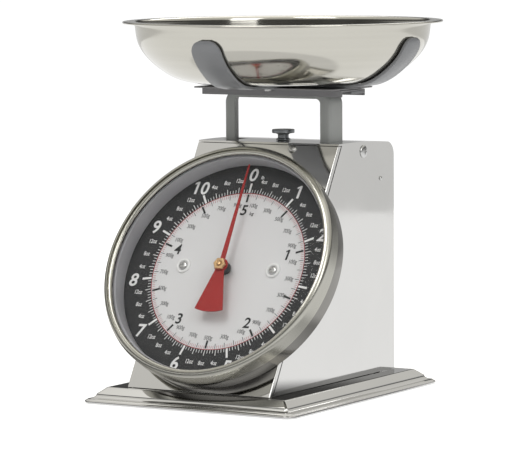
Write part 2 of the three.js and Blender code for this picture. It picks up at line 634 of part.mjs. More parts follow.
const linkSlots = Object.values(LINK_PIN_ZS).map(
  (z) => box([-50, 50], linkSlotY, [z - 2, z + 2]));
const ARM_RIVET_RADIUS = 20;  // distance of the arms' rivets from the weighing axis
const ARM_RIVET_HOLE = 2.1;
const armRivetHole = (x, y) => disc(ARM_RIVET_HOLE, [200, 220]).translate(x, WEIGH_Y + y, 0);
const sideRivetHoles = [-1, 1].map((side) => armRivetHole(side * ARM_RIVET_RADIUS, 0));
const endRivetHoles = [-1, 1].map((side) => armRivetHole(0, side * ARM_RIVET_RADIUS));
const yokeWeb = cut(
  prismY(yokeOutside, [YOKE_FRONT, YOKE_BACK]),
  prismY(yokeWebInside, [YOKE_FRONT - 1, YOKE_BACK + 1]));
const yokeFlange = cut(
  prismY(yokeOutside, [YOKE_FRONT, YOKE_FRONT + YOKE_SHEET]),
  prismY(yokeFlangeInside, [YOKE_FRONT - 1, YOKE_FRONT + YOKE_SHEET + 1]));
addPiece(body, 'yoke', cut(join(yokeWeb, yokeFlange), ...linkSlots, ...sideRivetHoles), greyPaint);

// Lower crossbar: joins the yoke's legs, holds the springs' lower ends and drives the rack
const rackPin = onPanel(RACK_PIN_UP, rackMiddle);
const rackPinDrop = WEIGH_TRAVEL * TILT_SIN / TILT_COS;
const crossbarHalf = YOKE_HALF_WIDTH - YOKE_SHEET - GAP;
const CROSSBAR_Z = [105, 109];
const crossbarY = [24, 35];
const crossbarTab = [CROSSBAR_Z[0], 113];
const driveArmX = [RACK_BACK + 0.9, RACK_BACK + 2.9];
const pinSlot = RACK_PIN_RADIUS + 0.4;
addPiece(body, 'lower_crossbar', cut(
  join(box([-crossbarHalf, crossbarHalf], crossbarY, CROSSBAR_Z),
    ...[-1, 1].map((side) => box(sided(side, [crossbarHalf - 2, crossbarHalf]), crossbarY, crossbarTab)),
    box(driveArmX, [rackPin.y - rackPinDrop - 6, 26], [CROSSBAR_Z[0], rackPin.z + 4.5])),
  box([driveArmX[0] - 1, driveArmX[1] + 1], [rackPin.y - rackPinDrop - 2, rackPin.y + 2],
    [rackPin.z - pinSlot, rackPin.z + pinSlot])),
zincSteel);

// Parallel links that keep the yoke upright, and the frame that they hang on. Each link has two
// bars with a bridge between them, and studs at its front end that ride in slots in the yoke.
const LINK_X = [36.5, 39];
const LINK_PIN_RADIUS = 1.5;
const LINK_HOLE = LINK_PIN_RADIUS + GAP;
function linkShape() {
  const bar = prismX([
    ...arc(0, 0, 4, -Math.PI / 2, Math.PI / 2, 5),
    ...arc(-LINK_LENGTH, 0, 3.6, Math.PI / 2, 1.5 * Math.PI, 5),
  ], LINK_X);
  const stud = rodX(LINK_PIN_RADIUS, [LINK_X[0] + 0.5, YOKE_HALF_WIDTH + 1.5], -LINK_LENGTH, 0);
  const right = join(bar, stud);
  const left = right.clone().rotateY(Math.PI);
  const bridge = box([-LINK_X[0] - 0.5, LINK_X[0] + 0.5], [-20, -8], [-0.8, 0.8]);
  return cut(join(right, left, bridge), rodX(LINK_HOLE, [-50, 50], 0, 0));
}
const linkPivotZ = (pinZ) => pinZ - LINK_LENGTH * Math.sin(LINK_TILT);
for (const [name, pinZ] of Object.entries(LINK_PIN_ZS)) {
  const link = addPiece(body, `${name}_link`, linkShape(), zincSteel);
  link.position.set(0, LINK_REAR_Y, linkPivotZ(pinZ));
  link.rotation.x = -LINK_TILT;
  const pin = rodX(LINK_PIN_RADIUS, [-45, 45], LINK_REAR_Y, linkPivotZ(pinZ));
  addPiece(body, `${name}_link_pin`, pin, zincSteel);
}

const FRAME_X = 43;
const FRAME_Z = [98, 162];
const frameBack = HOUSING_HALF_DEPTH - SHEET - GAP;
const frameFront = LINK_REAR_Y - 5;
const pivotHoles = Object.values(LINK_PIN_ZS).map(
  (z) => rodX(LINK_HOLE, [-50, 50], LINK_REAR_Y, linkPivotZ(z)));
addPiece(body, 'link_frame', cut(
  join(box([-FRAME_X, FRAME_X], [frameBack - SHEET, frameBack], FRAME_Z),
    ...[-1, 1].map((side) => box(
      sided(side, [FRAME_X - SHEET, FRAME_X]), [frameFront, frameBack], FRAME_Z))),
  ...pivotHoles, ...rearHoles),
zincSteel);
REAR_RIVET_ZS.forEach((z, i) => {
  const rivet = turned([[0, 1.7], [2.6, 1.5], [3.8, GAP], [2, GAP], [2, -3.2], [3.4, -3.5],
    [2.6, -4.6], [0, -4.8]]);
  const mesh = addPiece(body, `frame_rivet_${i === 0 ? 'lower' : 'upper'}`, rivet, zincSteel);
  mesh.position.set(0, HOUSING_HALF_DEPTH, z);
  mesh.rotation.x = -Math.PI / 2;
});

// Zero knob, the hanger on its screw, and the two springs
const roofAtKnob = HOUSING_TOP + 0.3;
const KNOB_STEM = 3.85;
const KNOB_SCREW = { radius: 2.2, bottom: 152 };
const HANGER_Z = [160, 165];
addPiece(body, 'zero_knob', turned([
  [0, KNOB_SCREW.bottom], [KNOB_SCREW.radius, KNOB_SCREW.bottom],
  [KNOB_SCREW.radius, roofAtKnob - 3], [KNOB_STEM, roofAtKnob - 2.6], [KNOB_STEM, roofAtKnob + GAP],
  [5, roofAtKnob + GAP], [5, roofAtKnob + 0.9], [KNOB_STEM, roofAtKnob + 1.2],
  [KNOB_STEM, KNOB_TOP - 3.4], [5.2, KNOB_TOP - 2.9], [KNOB_RADIUS - 0.3, KNOB_TOP - 2.5],
  [KNOB_RADIUS, KNOB_TOP - 2.2], [KNOB_RADIUS, KNOB_TOP - 0.3], [KNOB_RADIUS - 0.3, KNOB_TOP],
  [0, KNOB_TOP]], 16),
greyPaint).position.y = WEIGH_Y;
addPiece(body, 'spring_hanger', cut(
  box([-28, 28], [WEIGH_Y - 4, WEIGH_Y + 4], HANGER_Z),
  disc(KNOB_SCREW.radius + GAP, [150, 175], 16).translate(0, WEIGH_Y, 0)),
zincSteel);

const SPRING_X = 20;
const SPRING_RADIUS = 5.5;
const SPRING_WIRE = 0.9;
const SPRING_TURNS = 8;
class Coil extends THREE.Curve {
  constructor(radius, turns, bottom, top) {
    super();
    Object.assign(this, { radius, turns, bottom, top });
  }

  getPoint(t, target = new THREE.Vector3()) {
    const angle = 2 * Math.PI * this.turns * t;
    return target.set(this.radius * Math.cos(angle), this.radius * Math.sin(angle),
      this.bottom + (this.top - this.bottom) * t);
  }
}
const springCoil = new Coil(SPRING_RADIUS, SPRING_TURNS,
  CROSSBAR_Z[1] + GAP + SPRING_WIRE, HANGER_Z[0] - GAP - SPRING_WIRE);
const wireSection = shapeOf(arc(0, 0, SPRING_WIRE, 0, 2 * Math.PI, 4).slice(0, -1));
for (const [side, name] of [[-1, 'left'], [1, 'right']]) {
  const wire = new THREE.ExtrudeGeometry(
    wireSection, { steps: SPRING_TURNS * 8, extrudePath: springCoil, bevelEnabled: false });
  addPiece(body, `main_spring_${name}`, wire, zincSteel).position.set(side * SPRING_X, WEIGH_Y, 0);
}

// Platform: a channel on the yoke under a wider flat sheet

const trayY = [WEIGH_Y - TRAY_HALF_DEPTH, WEIGH_Y + TRAY_HALF_DEPTH];
const trayWeb = [TRAY_TOP - SHEET, TRAY_TOP];
const trayX = [-TRAY_HALF_WIDTH, TRAY_HALF_WIDTH];
const traySides = [TRAY_BOTTOM, TRAY_TOP];
const TRAY_TAB_FRONT = 27;
const TRAY_TAB_BOTTOM = 209.4;
addPiece(body, 'platform_tray', cut(
  join(box(trayX, trayY, trayWeb),
    box(trayX, [trayY[0], trayY[0] + SHEET], traySides),
    box(trayX, [trayY[1] - SHEET, trayY[1]], traySides),
    ...[-1, 1].map((side) => box(sided(side, [TRAY_HALF_WIDTH - SHEET, TRAY_HALF_WIDTH]),
      [TRAY_TAB_FRONT, trayY[1]], [TRAY_TAB_BOTTOM, TRAY_TOP]))),
  ...sideRivetHoles),
greyPaint);
addPiece(body, 'platform_sheet', cut(
  box(trayX, [WEIGH_Y - TOP_SHEET_HALF_DEPTH, WEIGH_Y + TOP_SHEET_HALF_DEPTH],
    [TRAY_TOP + GAP, TOP_SHEET_TOP]),
  ...sideRivetHoles, ...endRivetHoles),
greyPaint);

// Bowl: a wide shallow dish with a flat rolled rim. Points run from the foot up the outside.
const bowlSide = new THREE.SplineCurve([
  [52, BOWL_BOTTOM], [62, 216.9], [71, 218.6], [79, 221.9], [86.5, 226.8], [93.5, 232.8],
  [99, 239.6], [102.3, 247], [103.8, 256.5],
].map(([radius, height]) => new THREE.Vector2(radius, height)));
function bowlProfile() {
  const outside = bowlSide.getPoints(9).map(({ x, y }) => [x, y]);
  const inside = outside.map(([radius, height], i) => {
    const before = outside[Math.max(i - 1, 0)];
    const after = outside[Math.min(i + 1, outside.length - 1)];
    const along = new THREE.Vector2(after[0] - before[0], after[1] - before[1]).normalize();
    return [radius - along.y * BOWL_SHEET, height + along.x * BOWL_SHEET];
  });
  return [
    [0, BOWL_BOTTOM], ...outside, [105.4, BOWL_RIM - 1.2],
    [BOWL_RADIUS - 0.5, BOWL_RIM - 1.3], [BOWL_RADIUS, BOWL_RIM - 0.8],
    [BOWL_RADIUS - 0.4, BOWL_RIM], [105, BOWL_RIM],
    ...inside.reverse(), [0, BOWL_BOTTOM + BOWL_SHEET],
  ];
}
addPiece(body, 'bowl', turned(bowlProfile(), ROUND), polishedSteel).position.y = WEIGH_Y;

// Cradle arms: straps that lie on the platform, rise along the bowl's side and end in round tips
const ARM_CLEARANCE = 0.5;    // between the arms and the bowl
const ARM_BEND = 58;          // where the flat foot of an arm starts to rise
const ARM_TIP_RADIUS = 9;
const armFoot = TOP_SHEET_TOP + GAP;
const armTop = armFoot + ARM_SHEET;
const rivetSeat = armFoot + 0.8;
function cradleArm() {
  const side = bowlSide.getPoints(14).filter(({ x, y }) => x > 60 && y < ARM_TIP + 4);
  const offsetSide = (distance) => side.map((point, i) => {
    const before = side[Math.max(i - 1, 0)];
    const after = side[Math.min(i + 1, side.length - 1)];
    const along = after.clone().sub(before).normalize();
    return [point.x + along.y * distance, point.y - along.x * distance];
  });
  const inner = offsetSide(ARM_CLEARANCE).filter(([, z]) => z > armTop + 0.2);
  const outer = offsetSide(ARM_CLEARANCE + ARM_SHEET).filter(([, z]) => z > armFoot + 0.2);
  const half = ARM_WIDTH / 2;
  const strap = prismX([
    [ARM_START, armFoot], [ARM_BEND, armFoot], ...outer,
    ...inner.reverse(), [ARM_BEND, armTop], [ARM_START, armTop],
  ], [-half, half]);
  const [tipX, tipZ] = [half - ARM_TIP_RADIUS, ARM_TIP - ARM_TIP_RADIUS];
  const tipOutline = shapeOf([
    [-half, 200], [half, 200], ...arc(tipX, tipZ, ARM_TIP_RADIUS, 0, Math.PI / 2, 5),
    ...arc(-tipX, tipZ, ARM_TIP_RADIUS, Math.PI / 2, Math.PI, 5)]);
  const rounded = common(strap, prismY(tipOutline, [0, 130]));
  return cut(rounded,
    disc(ARM_RIVET_HOLE, [210, 220]).translate(0, ARM_RIVET_RADIUS, 0),
    disc(3.1, [rivetSeat, 220], 16).translate(0, ARM_RIVET_RADIUS, 0));
}
const armSides = ['rear', 'left', 'front', 'right'];
armSides.forEach((name, i) => {
  const turn = i * Math.PI / 2;
  const arm = addPiece(body, `cradle_arm_${name}`, cradleArm(), greyPaint);
  arm.position.y = WEIGH_Y;
  arm.rotation.z = turn;
  // The side rivets also go through the platform's channel and the yoke under it.
  const foot = i % 2 === 1 ? YOKE_TOP - YOKE_SHEET : TRAY_TOP + GAP;
  const headBottom = rivetSeat + GAP;
  const rivet = turned([
    [0, foot - 1.8], [2.6, foot - 1.5], [3, foot - GAP], [1.8, foot - GAP], [1.8, headBottom],
    [2.8, headBottom], [2.8, headBottom + 0.9], [0, headBottom + 0.9]]);
  addPiece(body, `arm_rivet_${name}`, rivet, zincSteel).position.set(
    -ARM_RIVET_RADIUS * Math.sin(turn), WEIGH_Y + ARM_RIVET_RADIUS * Math.cos(turn), 0);
});

export default kitchenScale;
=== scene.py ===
"""Looks of a mechanical kitchen scale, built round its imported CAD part.

Shapes are drawn in millimetres, with their origin in the middle of the base at the table (BODY), or at
the dial's centre with Z out of the dial and Y up it (DIAL). They become metres when a mesh is made.
"""

import json
import math

import bmesh
import bpy
from mathutils import Matrix, Vector

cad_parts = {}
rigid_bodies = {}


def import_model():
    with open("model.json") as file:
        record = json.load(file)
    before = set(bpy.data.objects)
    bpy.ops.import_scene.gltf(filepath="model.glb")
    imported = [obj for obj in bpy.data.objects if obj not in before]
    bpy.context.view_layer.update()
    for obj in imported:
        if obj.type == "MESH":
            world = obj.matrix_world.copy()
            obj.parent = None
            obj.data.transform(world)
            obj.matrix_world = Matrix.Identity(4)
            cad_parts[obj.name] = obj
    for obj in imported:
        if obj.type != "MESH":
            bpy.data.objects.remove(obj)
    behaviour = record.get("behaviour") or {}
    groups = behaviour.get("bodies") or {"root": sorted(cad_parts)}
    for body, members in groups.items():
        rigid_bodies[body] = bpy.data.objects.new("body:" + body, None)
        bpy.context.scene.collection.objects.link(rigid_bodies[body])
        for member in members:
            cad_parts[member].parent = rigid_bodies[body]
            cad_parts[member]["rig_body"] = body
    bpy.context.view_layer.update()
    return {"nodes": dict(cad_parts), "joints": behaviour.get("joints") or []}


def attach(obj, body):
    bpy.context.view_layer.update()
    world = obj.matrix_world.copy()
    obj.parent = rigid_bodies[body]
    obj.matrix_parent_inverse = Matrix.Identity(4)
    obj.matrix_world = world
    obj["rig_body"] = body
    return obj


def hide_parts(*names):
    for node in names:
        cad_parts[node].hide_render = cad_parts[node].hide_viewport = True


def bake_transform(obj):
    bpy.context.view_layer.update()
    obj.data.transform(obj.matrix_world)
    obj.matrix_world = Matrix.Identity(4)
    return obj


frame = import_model()

MM = 0.001
SCENE = bpy.context.scene
NODES = frame["nodes"]
JOINTS = {joint["name"]: joint for joint in frame["joints"]}


# ---- Places and sizes, read from the frame ----

def span(node, place=Matrix.Identity(4)):
    """Lowest and highest corner of a CAD node in millimetres, along the axes of a place."""
    inverse = place.inverted()
    points = [inverse @ vertex.co for vertex in NODES[node].data.vertices]
    low = Vector([min(point[i] for point in points) for i in range(3)])
    high = Vector([max(point[i] for point in points) for i in range(3)])
    return low / MM, high / MM


def dial_place():
    """The dial's own axes: X right, Y up the panel, Z out of the dial."""
    joint = JOINTS["pointer_spin"]
    normal = Vector(joint["axis"]).normalized()
    right = Vector((1, 0, 0))
    turn = Matrix((right, normal.cross(right), normal)).transposed().to_4x4()
    return Matrix.Translation(joint["pos_m"]) @ turn


base_low, base_high = span("base_plinth")
BASE_Y = (base_low.y + base_high.y) / 2
BODY = Matrix.Translation((0, BASE_Y * MM, 0))
DIAL = dial_place()

BASE_HALF_WIDTH = base_high.x
BASE_HALF_DEPTH = (base_high.y - base_low.y) / 2
BASE_TOP = base_high.z
SHEET = 1.2
GAP = 0.3

housing_low, housing_high = span("housing_shell", BODY)
HOUSING_HALF_WIDTH = housing_high.x
HOUSING_BACK = housing_high.y
HOUSING_FLOOR = housing_low.z

dial_centre = BODY.inverted() @ DIAL.translation / MM
TILT_TAN = DIAL[1][1] / DIAL[2][1]
TILT_COS = DIAL[2][1]
HOUSING_TOP = 175.6        # height of the roof's front edge, below its crown
PANEL_TOP = HOUSING_TOP - SHEET - GAP

WEIGH_Y = (BODY.inverted() @ Vector(JOINTS["zero_knob_turn"]["pos_m"])).y / MM
SCALE_AXIS = BODY @ Matrix.Translation((0, WEIGH_Y * MM, 0))


def panel_y(z, out):
    """Y of the plane a distance out from the tilted panel, at a height Z."""
    return dial_centre.y + (z - dial_centre.z) * TILT_TAN - out / TILT_COS


# ---- Outlines ----

def arc(centre, radius, start, end, steps):
    """Points on an arc from one angle to another, in degrees, both ends included."""
    angles = [math.radians(start + (end - start) * i / steps) for i in range(steps + 1)]
    return [(centre[0] + radius * math.cos(a), centre[1] + radius * math.sin(a)) for a in angles]


def bezier(a, b, c, steps):
    """Points on a quadratic curve from a to c, pulled towards b."""
    shares = [i / steps for i in range(steps + 1)]
    return [tuple((1 - t) ** 2 * p + 2 * t * (1 - t) * q + t * t * r
                  for p, q, r in zip(a, b, c)) for t in shares]


def rounded(points, radius, steps=3, closed=True):
    """The same outline with its corners rounded as far as its sides allow."""
    made = []
    count = len(points)
    for i, point in enumerate(points):
        if not closed and i in (0, count - 1):
            made.append(tuple(point))
            continue
        corner = Vector(point)
        before, after = Vector(points[i - 1]) - corner, Vector(points[(i + 1) % count]) - corner
        reach = min(radius, before.length * 0.45, after.length * 0.45)
        start, end = corner + before.normalized() * reach, corner + after.normalized() * reach
        made.extend(bezier(tuple(start), tuple(corner), tuple(end), steps))
    return made


def rounded_rectangle(half_x, half_y, radius, steps=8):
    corners = [(1, 1), (-1, 1), (-1, -1), (1, -1)]
    return [point for i, (side_x, side_y) in enumerate(corners) for point in arc(
        (side_x * (half_x - radius), side_y * (half_y - radius)), radius, 90 * i, 90 * i + 90, steps)]


def spline(points, steps):
    """A smooth curve through the points (uniform Catmull-Rom)."""
    made = []
    last = len(points) - 1
    for i in range(last):
        p0, p1 = Vector(points[max(i - 1, 0)]), Vector(points[i])
        p2, p3 = Vector(points[i + 1]), Vector(points[min(i + 2, last)])
        pull_in, pull_out = (p2 - p0) / 2, (p3 - p1) / 2
        for step in range(steps):
            t = step / steps
            made.append(tuple((2 * p1 - 2 * p2 + pull_in + pull_out) * t ** 3
                              + (3 * p2 - 3 * p1 - 2 * pull_in - pull_out) * t ** 2 + pull_in * t + p1))
    return made + [tuple(points[-1])]


def offset(points, distance):
    """An open line moved to its right by a distance."""
    made = []
    for i, point in enumerate(points):
        along = Vector(points[min(i + 1, len(points) - 1)]) - Vector(points[max(i - 1, 0)])
        along.normalize()
        made.append((point[0] + along.y * distance, point[1] - along.x * distance))
    return made


# ---- Meshes: each is a list of corners in millimetres and a list of faces ----

def lathe(profile, sides=144):
    """A solid turned about Z. The profile starts and ends on the axis, or closes on itself."""
    solid = profile[0][0] == 0
    corners, rings = [], []
    for radius, height in profile:
        count = sides if radius > 0 else 1
        rings.append(range(len(corners), len(corners) + count))
        angles = [2 * math.pi * i / count for i in range(count)]
        corners.extend((radius * math.cos(a), radius * math.sin(a), height) for a in angles)
    faces = []
    pairs = list(zip(rings, rings[1:])) + ([] if solid else [(rings[-1], rings[0])])
    for low, high in pairs:
        for i in range(sides):
            j = (i + 1) % sides
            quad = [low[i % len(low)], low[j % len(low)], high[j % len(high)], high[i % len(high)]]
            faces.append(list(dict.fromkeys(quad)))
    return corners, faces


def loft(rings):
    """A skin over rings of equal corner counts, with flat ends."""
    count = len(rings[0])
    corners = [tuple(corner) for one in rings for corner in one]
    faces = []
    for level in range(len(rings) - 1):
        for i in range(count):
            j = (i + 1) % count
            low = level * count
            faces.append([low + i, low + j, low + count + j, low + count + i])
    faces.append(list(range(count))[::-1])
    faces.append(list(range(len(corners) - count, len(corners))))
    return corners, faces


def extrude(outline, low, high, axis="z"):
    """An outline drawn out along an axis. Along y it is drawn in X and Z, along x in Y and Z."""
    order = {
        "z": lambda u, v, w: (u, v, w),
        "y": lambda u, v, w: (u, w, v),
        "x": lambda u, v, w: (w, u, v),
    }
    place = order[axis]
    return loft([[place(u, v, level) for u, v in outline] for level in (low, high)])


def block(x, y, z):
    return extrude([(x[0], y[0]), (x[1], y[0]), (x[1], y[1]), (x[0], y[1])], z[0], z[1])


def together(*meshes):
    """Several separate closed meshes as one."""
    corners, faces = [], []
    for more_corners, more_faces in meshes:
        start = len(corners)
        corners.extend(more_corners)
        faces.extend([[start + i for i in face] for face in more_faces])
    return corners, faces


def moved(mesh, matrix):
    corners, faces = mesh
    return [tuple(matrix @ Vector(corner)) for corner in corners], faces


def mesh_data(name, mesh):
    corners, faces = mesh
    data = bpy.data.meshes.new(name)
    data.from_pydata([Vector(corner) * MM for corner in corners], [], faces)
    shape = bmesh.new()
    shape.from_mesh(data)
    bmesh.ops.recalc_face_normals(shape, faces=shape.faces)
    shape.to_mesh(data)
    shape.free()
    return data


def smooth(data, angle=32):
    data.polygons.foreach_set("use_smooth", [True] * len(data.polygons))
    data.set_sharp_from_angle(angle=math.radians(angle))


def modified(thing):
    """Makes an object's modifiers part of its mesh."""
    view = bpy.context.evaluated_depsgraph_get()
    data = bpy.data.meshes.new_from_object(thing.evaluated_get(view))
    thing.modifiers.clear()
    thing.data = data


def carve(thing, *cutters):
    """Cuts closed meshes, drawn in the thing's own axes, out of it."""
    for mesh in cutters:
        cutter = bpy.data.objects.new("cutter", mesh_data("cutter", mesh))
        SCENE.collection.objects.link(cutter)
        cutter.matrix_world = thing.matrix_world
        change = thing.modifiers.new("cut", "BOOLEAN")
        change.object = cutter
        change.solver = "EXACT"
        bpy.context.view_layer.update()
        modified(thing)
        bpy.data.objects.remove(cutter)


def soften(thing, width=0.3, segments=2, angle=40):
    """Rounds a thing's sharp edges a little, so that they catch the light."""
    change = thing.modifiers.new("edges", "BEVEL")
    change.width = width * MM
    change.segments = segments
    change.limit_method = "ANGLE"
    change.angle_limit = math.radians(angle)
    change.harden_normals = True


def piece(name, mesh, material, body="case", place=BODY, replaces=(), cuts=(),
          edges=0.0, angle=32):
    """A visible piece of the scale, in place, riding on a CAD body."""
    thing = bpy.data.objects.new(name, mesh_data(name, mesh))
    SCENE.collection.objects.link(thing)
    thing.matrix_world = place
    bpy.context.view_layer.update()
    carve(thing, *cuts)
    thing.data.materials.clear()
    thing.data.materials.append(material)
    smooth(thing.data, angle)
    if edges:
        soften(thing, edges)
    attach(thing, body)
    if replaces:
        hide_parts(*replaces)
    return thing


# ---- Materials ----

def new_material(name, slot):
    """A material with a Principled shader and the coordinates of the thing it is on."""
    material = bpy.data.materials.new(name)
    material.use_nodes = True
    material["slot"] = slot
    tree = material.node_tree
    shader = tree.nodes["Principled BSDF"]
    coordinates = tree.nodes.new("ShaderNodeTexCoord").outputs["Object"]
    return material, tree, shader, coordinates


def scaled(tree, coordinates, scale):
    node = tree.nodes.new("ShaderNodeMapping")
    tree.links.new(coordinates, node.inputs["Vector"])
    node.inputs["Scale"].default_value = scale
    return node.outputs["Vector"]


def noise(tree, coordinates, scale, detail=3.0, roughness=0.5):
    node = tree.nodes.new("ShaderNodeTexNoise")
    tree.links.new(coordinates, node.inputs["Vector"])
    node.inputs["Scale"].default_value = scale
    node.inputs["Detail"].default_value = detail
    node.inputs["Roughness"].default_value = roughness
    return node.outputs["Fac"]


def spread(tree, value, low, high, start=0.3, end=0.7):
    """Takes a noise value to a range."""
    node = tree.nodes.new("ShaderNodeMapRange")
    tree.links.new(value, node.inputs["Value"])
    for socket, number in zip(("From Min", "From Max", "To Min", "To Max"), (start, end, low, high)):
        node.inputs[socket].default_value = number
    return node.outputs["Result"]


def tinted(tree, value, dark, light):
    """A colour that runs from dark to light with a noise value."""
    node = tree.nodes.new("ShaderNodeValToRGB")
    tree.links.new(value, node.inputs["Fac"])
    for element, place, colour in zip(node.color_ramp.elements, (0.3, 0.7), (dark, light)):
        element.position = place
        element.color = (*colour, 1)
    return node.outputs["Color"]


def bumped(tree, shader, layers):
    """Adds bumps, each given as (height, strength, distance in millimetres)."""
    normal = None
    for height, strength, distance in layers:
        node = tree.nodes.new("ShaderNodeBump")
        tree.links.new(height, node.inputs["Height"])
        node.inputs["Strength"].default_value = strength
        node.inputs["Distance"].default_value = distance * MM
        if normal is not None:
            tree.links.new(normal, node.inputs["Normal"])
        normal = node.outputs["Normal"]
    tree.links.new(normal, shader.inputs["Normal"])


def shade(colour, share):
    return tuple(channel * share for channel in colour)


def round_coordinates(tree, coordinates):
    """Coordinates whose X is the distance from the Z axis, the same all the way round it."""
    parts = tree.nodes.new("ShaderNodeSeparateXYZ")
    tree.links.new(coordinates, parts.inputs["Vector"])
    flat = tree.nodes.new("ShaderNodeCombineXYZ")
    tree.links.new(parts.outputs["X"], flat.inputs["X"])
    tree.links.new(parts.outputs["Y"], flat.inputs["Y"])
    length = tree.nodes.new("ShaderNodeVectorMath")
    length.operation = "LENGTH"
    tree.links.new(flat.outputs["Vector"], length.inputs[0])
    made = tree.nodes.new("ShaderNodeCombineXYZ")
    tree.links.new(length.outputs["Value"], made.inputs["X"])
    tree.links.new(parts.outputs["Z"], made.inputs["Z"])
    return made.outputs["Vector"]


def polished_sheet(name="polished_sheet", colour=(0.67, 0.665, 0.65), slot="polished_steel"):
    """Mirror-polished stainless sheet: faint waves, fine polishing lines and a few dull smears."""
    material, tree, shader, coordinates = new_material(name, slot)
    shader.inputs["Metallic"].default_value = 1
    smears = noise(tree, coordinates, 22, 4)
    lines = noise(tree, scaled(tree, coordinates, (60, 60, 2500)), 1, 3)
    waves = noise(tree, coordinates, 14, 1)
    tree.links.new(tinted(tree, smears, shade(colour, 0.97), colour), shader.inputs["Base Color"])
    tree.links.new(spread(tree, smears, 0.035, 0.085), shader.inputs["Roughness"])
    bumped(tree, shader, [(waves, 0.35, 0.12), (lines, 0.05, 0.01)])
    return material


def turned_steel(name, slot, colour, roughness, line_strength):
    """Steel spun or brushed round its own axis."""
    material, tree, shader, coordinates = new_material(name, slot)
    shader.inputs["Metallic"].default_value = 1
    rings = round_coordinates(tree, coordinates)
    lines = noise(tree, rings, 900, 3, 0.5)
    bands = noise(tree, rings, 130, 2)
    smears = noise(tree, coordinates, 30, 4)
    tree.links.new(tinted(tree, bands, shade(colour, 0.94), colour), shader.inputs["Base Color"])
    tree.links.new(spread(tree, smears, roughness * 0.8, roughness * 1.25), shader.inputs["Roughness"])
    bumped(tree, shader, [(lines, line_strength, 0.02), (smears, 0.1, 0.1)])
    return material


def plated_steel(name="zinc_plate", slot="zinc_steel", colour=(0.56, 0.56, 0.55), roughness=0.3):
    """Plain plated steel with the faint spangle of the plating."""
    material, tree, shader, coordinates = new_material(name, slot)
    shader.inputs["Metallic"].default_value = 1
    spangle = noise(tree, coordinates, 260, 3)
    grain = noise(tree, coordinates, 2200, 2)
    tree.links.new(tinted(tree, spangle, shade(colour, 0.86), colour), shader.inputs["Base Color"])
    tree.links.new(spread(tree, spangle, roughness * 0.8, roughness * 1.3), shader.inputs["Roughness"])
    bumped(tree, shader, [(grain, 0.12, 0.02)])
    return material


def coated(name, slot, colour, roughness, peel=0.12, peel_scale=1100, vary=0.93, specular=0.5):
    """Paint, enamel, print or moulded plastic: a fine skin texture over a slightly uneven colour."""
    material, tree, shader, coordinates = new_material(name, slot)
    shader.inputs["Specular IOR Level"].default_value = specular
    patches = noise(tree, coordinates, 45, 4)
    skin = noise(tree, coordinates, peel_scale, 2)
    tree.links.new(tinted(tree, patches, shade(colour, vary), colour), shader.inputs["Base Color"])
    tree.links.new(spread(tree, patches, roughness * 0.85, roughness * 1.15), shader.inputs["Roughness"])
    bumped(tree, shader, [(skin, peel, 0.03)])
    return material


def clear_lens():
    """A thin clear pane that takes a little of the light and gives none back."""
    material, tree, shader, coordinates = new_material("clear_pane", "clear_lens")
    shader.inputs["Base Color"].default_value = (0.2, 0.21, 0.21, 1)
    shader.inputs["Alpha"].default_value = 0.04
    shader.inputs["IOR"].default_value = 1.45
    dust = noise(tree, coordinates, 60, 3)
    tree.links.new(spread(tree, dust, 0.02, 0.05), shader.inputs["Roughness"])
    return material


POLISHED = polished_sheet()
BOWL_STEEL = turned_steel("bowl_steel", "polished_steel", (0.57, 0.555, 0.50), 0.11, 0.06)
BEZEL_STEEL = turned_steel("bezel_steel", "bezel_steel", (0.47, 0.462, 0.415), 0.22, 0.1)
# The drum's steel is much darker than the other steels: painted shade for the drum's dark underside.
DRUM_STEEL_PAINTED_DARK = turned_steel("drum_steel", "polished_steel", (0.27, 0.262, 0.245), 0.16, 0.006)
GREY_PAINT = coated("grey_paint", "grey_paint", (0.37, 0.382, 0.376), 0.38)
DARK_PAINT = coated("cradle_paint", "grey_paint", (0.215, 0.221, 0.234), 0.33)
TRAY_PAINT = coated("tray_paint", "grey_paint", (0.23, 0.227, 0.238), 0.42)
KNOB_METAL = plated_steel("knob_metal", "knob_steel", (0.30, 0.315, 0.33), 0.36)
ZINC = plated_steel()
SCREW_METAL = plated_steel("screw_metal", "zinc_steel", (0.62, 0.62, 0.61), 0.24)
BRASS = plated_steel("turned_brass", "brass", (0.72, 0.47, 0.24), 0.28)
DIAL_WHITE = coated("dial_enamel", "dial_white", (0.72, 0.72, 0.73), 0.5, 0.04, 700, 0.98, 0.3)
PRINT_BLACK = coated("print_black", "dial_white", (0.028, 0.028, 0.030), 0.55, 0.05, 900, 0.9, 0.25)
PRINT_WHITE = coated("print_white", "dial_white", (0.82, 0.82, 0.82), 0.5, 0.03, 900, 0.98, 0.3)
PRINT_GREY = coated("print_grey", "dial_white", (0.12, 0.12, 0.125), 0.55, 0.03, 900, 0.9, 0.3)
PRINT_RED = coated("print_red", "dial_white", (0.36, 0.05, 0.06), 0.5, 0.03, 900, 0.95, 0.3)
PRINT_PINK = coated("print_pink", "dial_white", (0.44, 0.16, 0.18), 0.5, 0.03, 900, 0.95, 0.3)
SPACER_GREY = coated("spacer_grey", "spacer_grey", (0.43, 0.43, 0.455), 0.42, 0.08)
POINTER_RED = coated("pointer_red", "red_pointer", (0.36, 0.018, 0.016), 0.4, 0.05, 900, 0.92, 0.25)
BLACK_PLASTIC = coated("black_plastic", "black_plastic", (0.02, 0.02, 0.022), 0.4)
RUBBER = coated("rubber", "black_rubber", (0.022, 0.022, 0.022), 0.75, 0.3, 1500, 0.8, 0.3)
LENS = clear_lens()


# ---- Base ----

BASE_CORNER = 7
BASE_LEAST_CORNER = 2.2
COVER_INSET = 9.8
FOOT_HEIGHT = 6.5


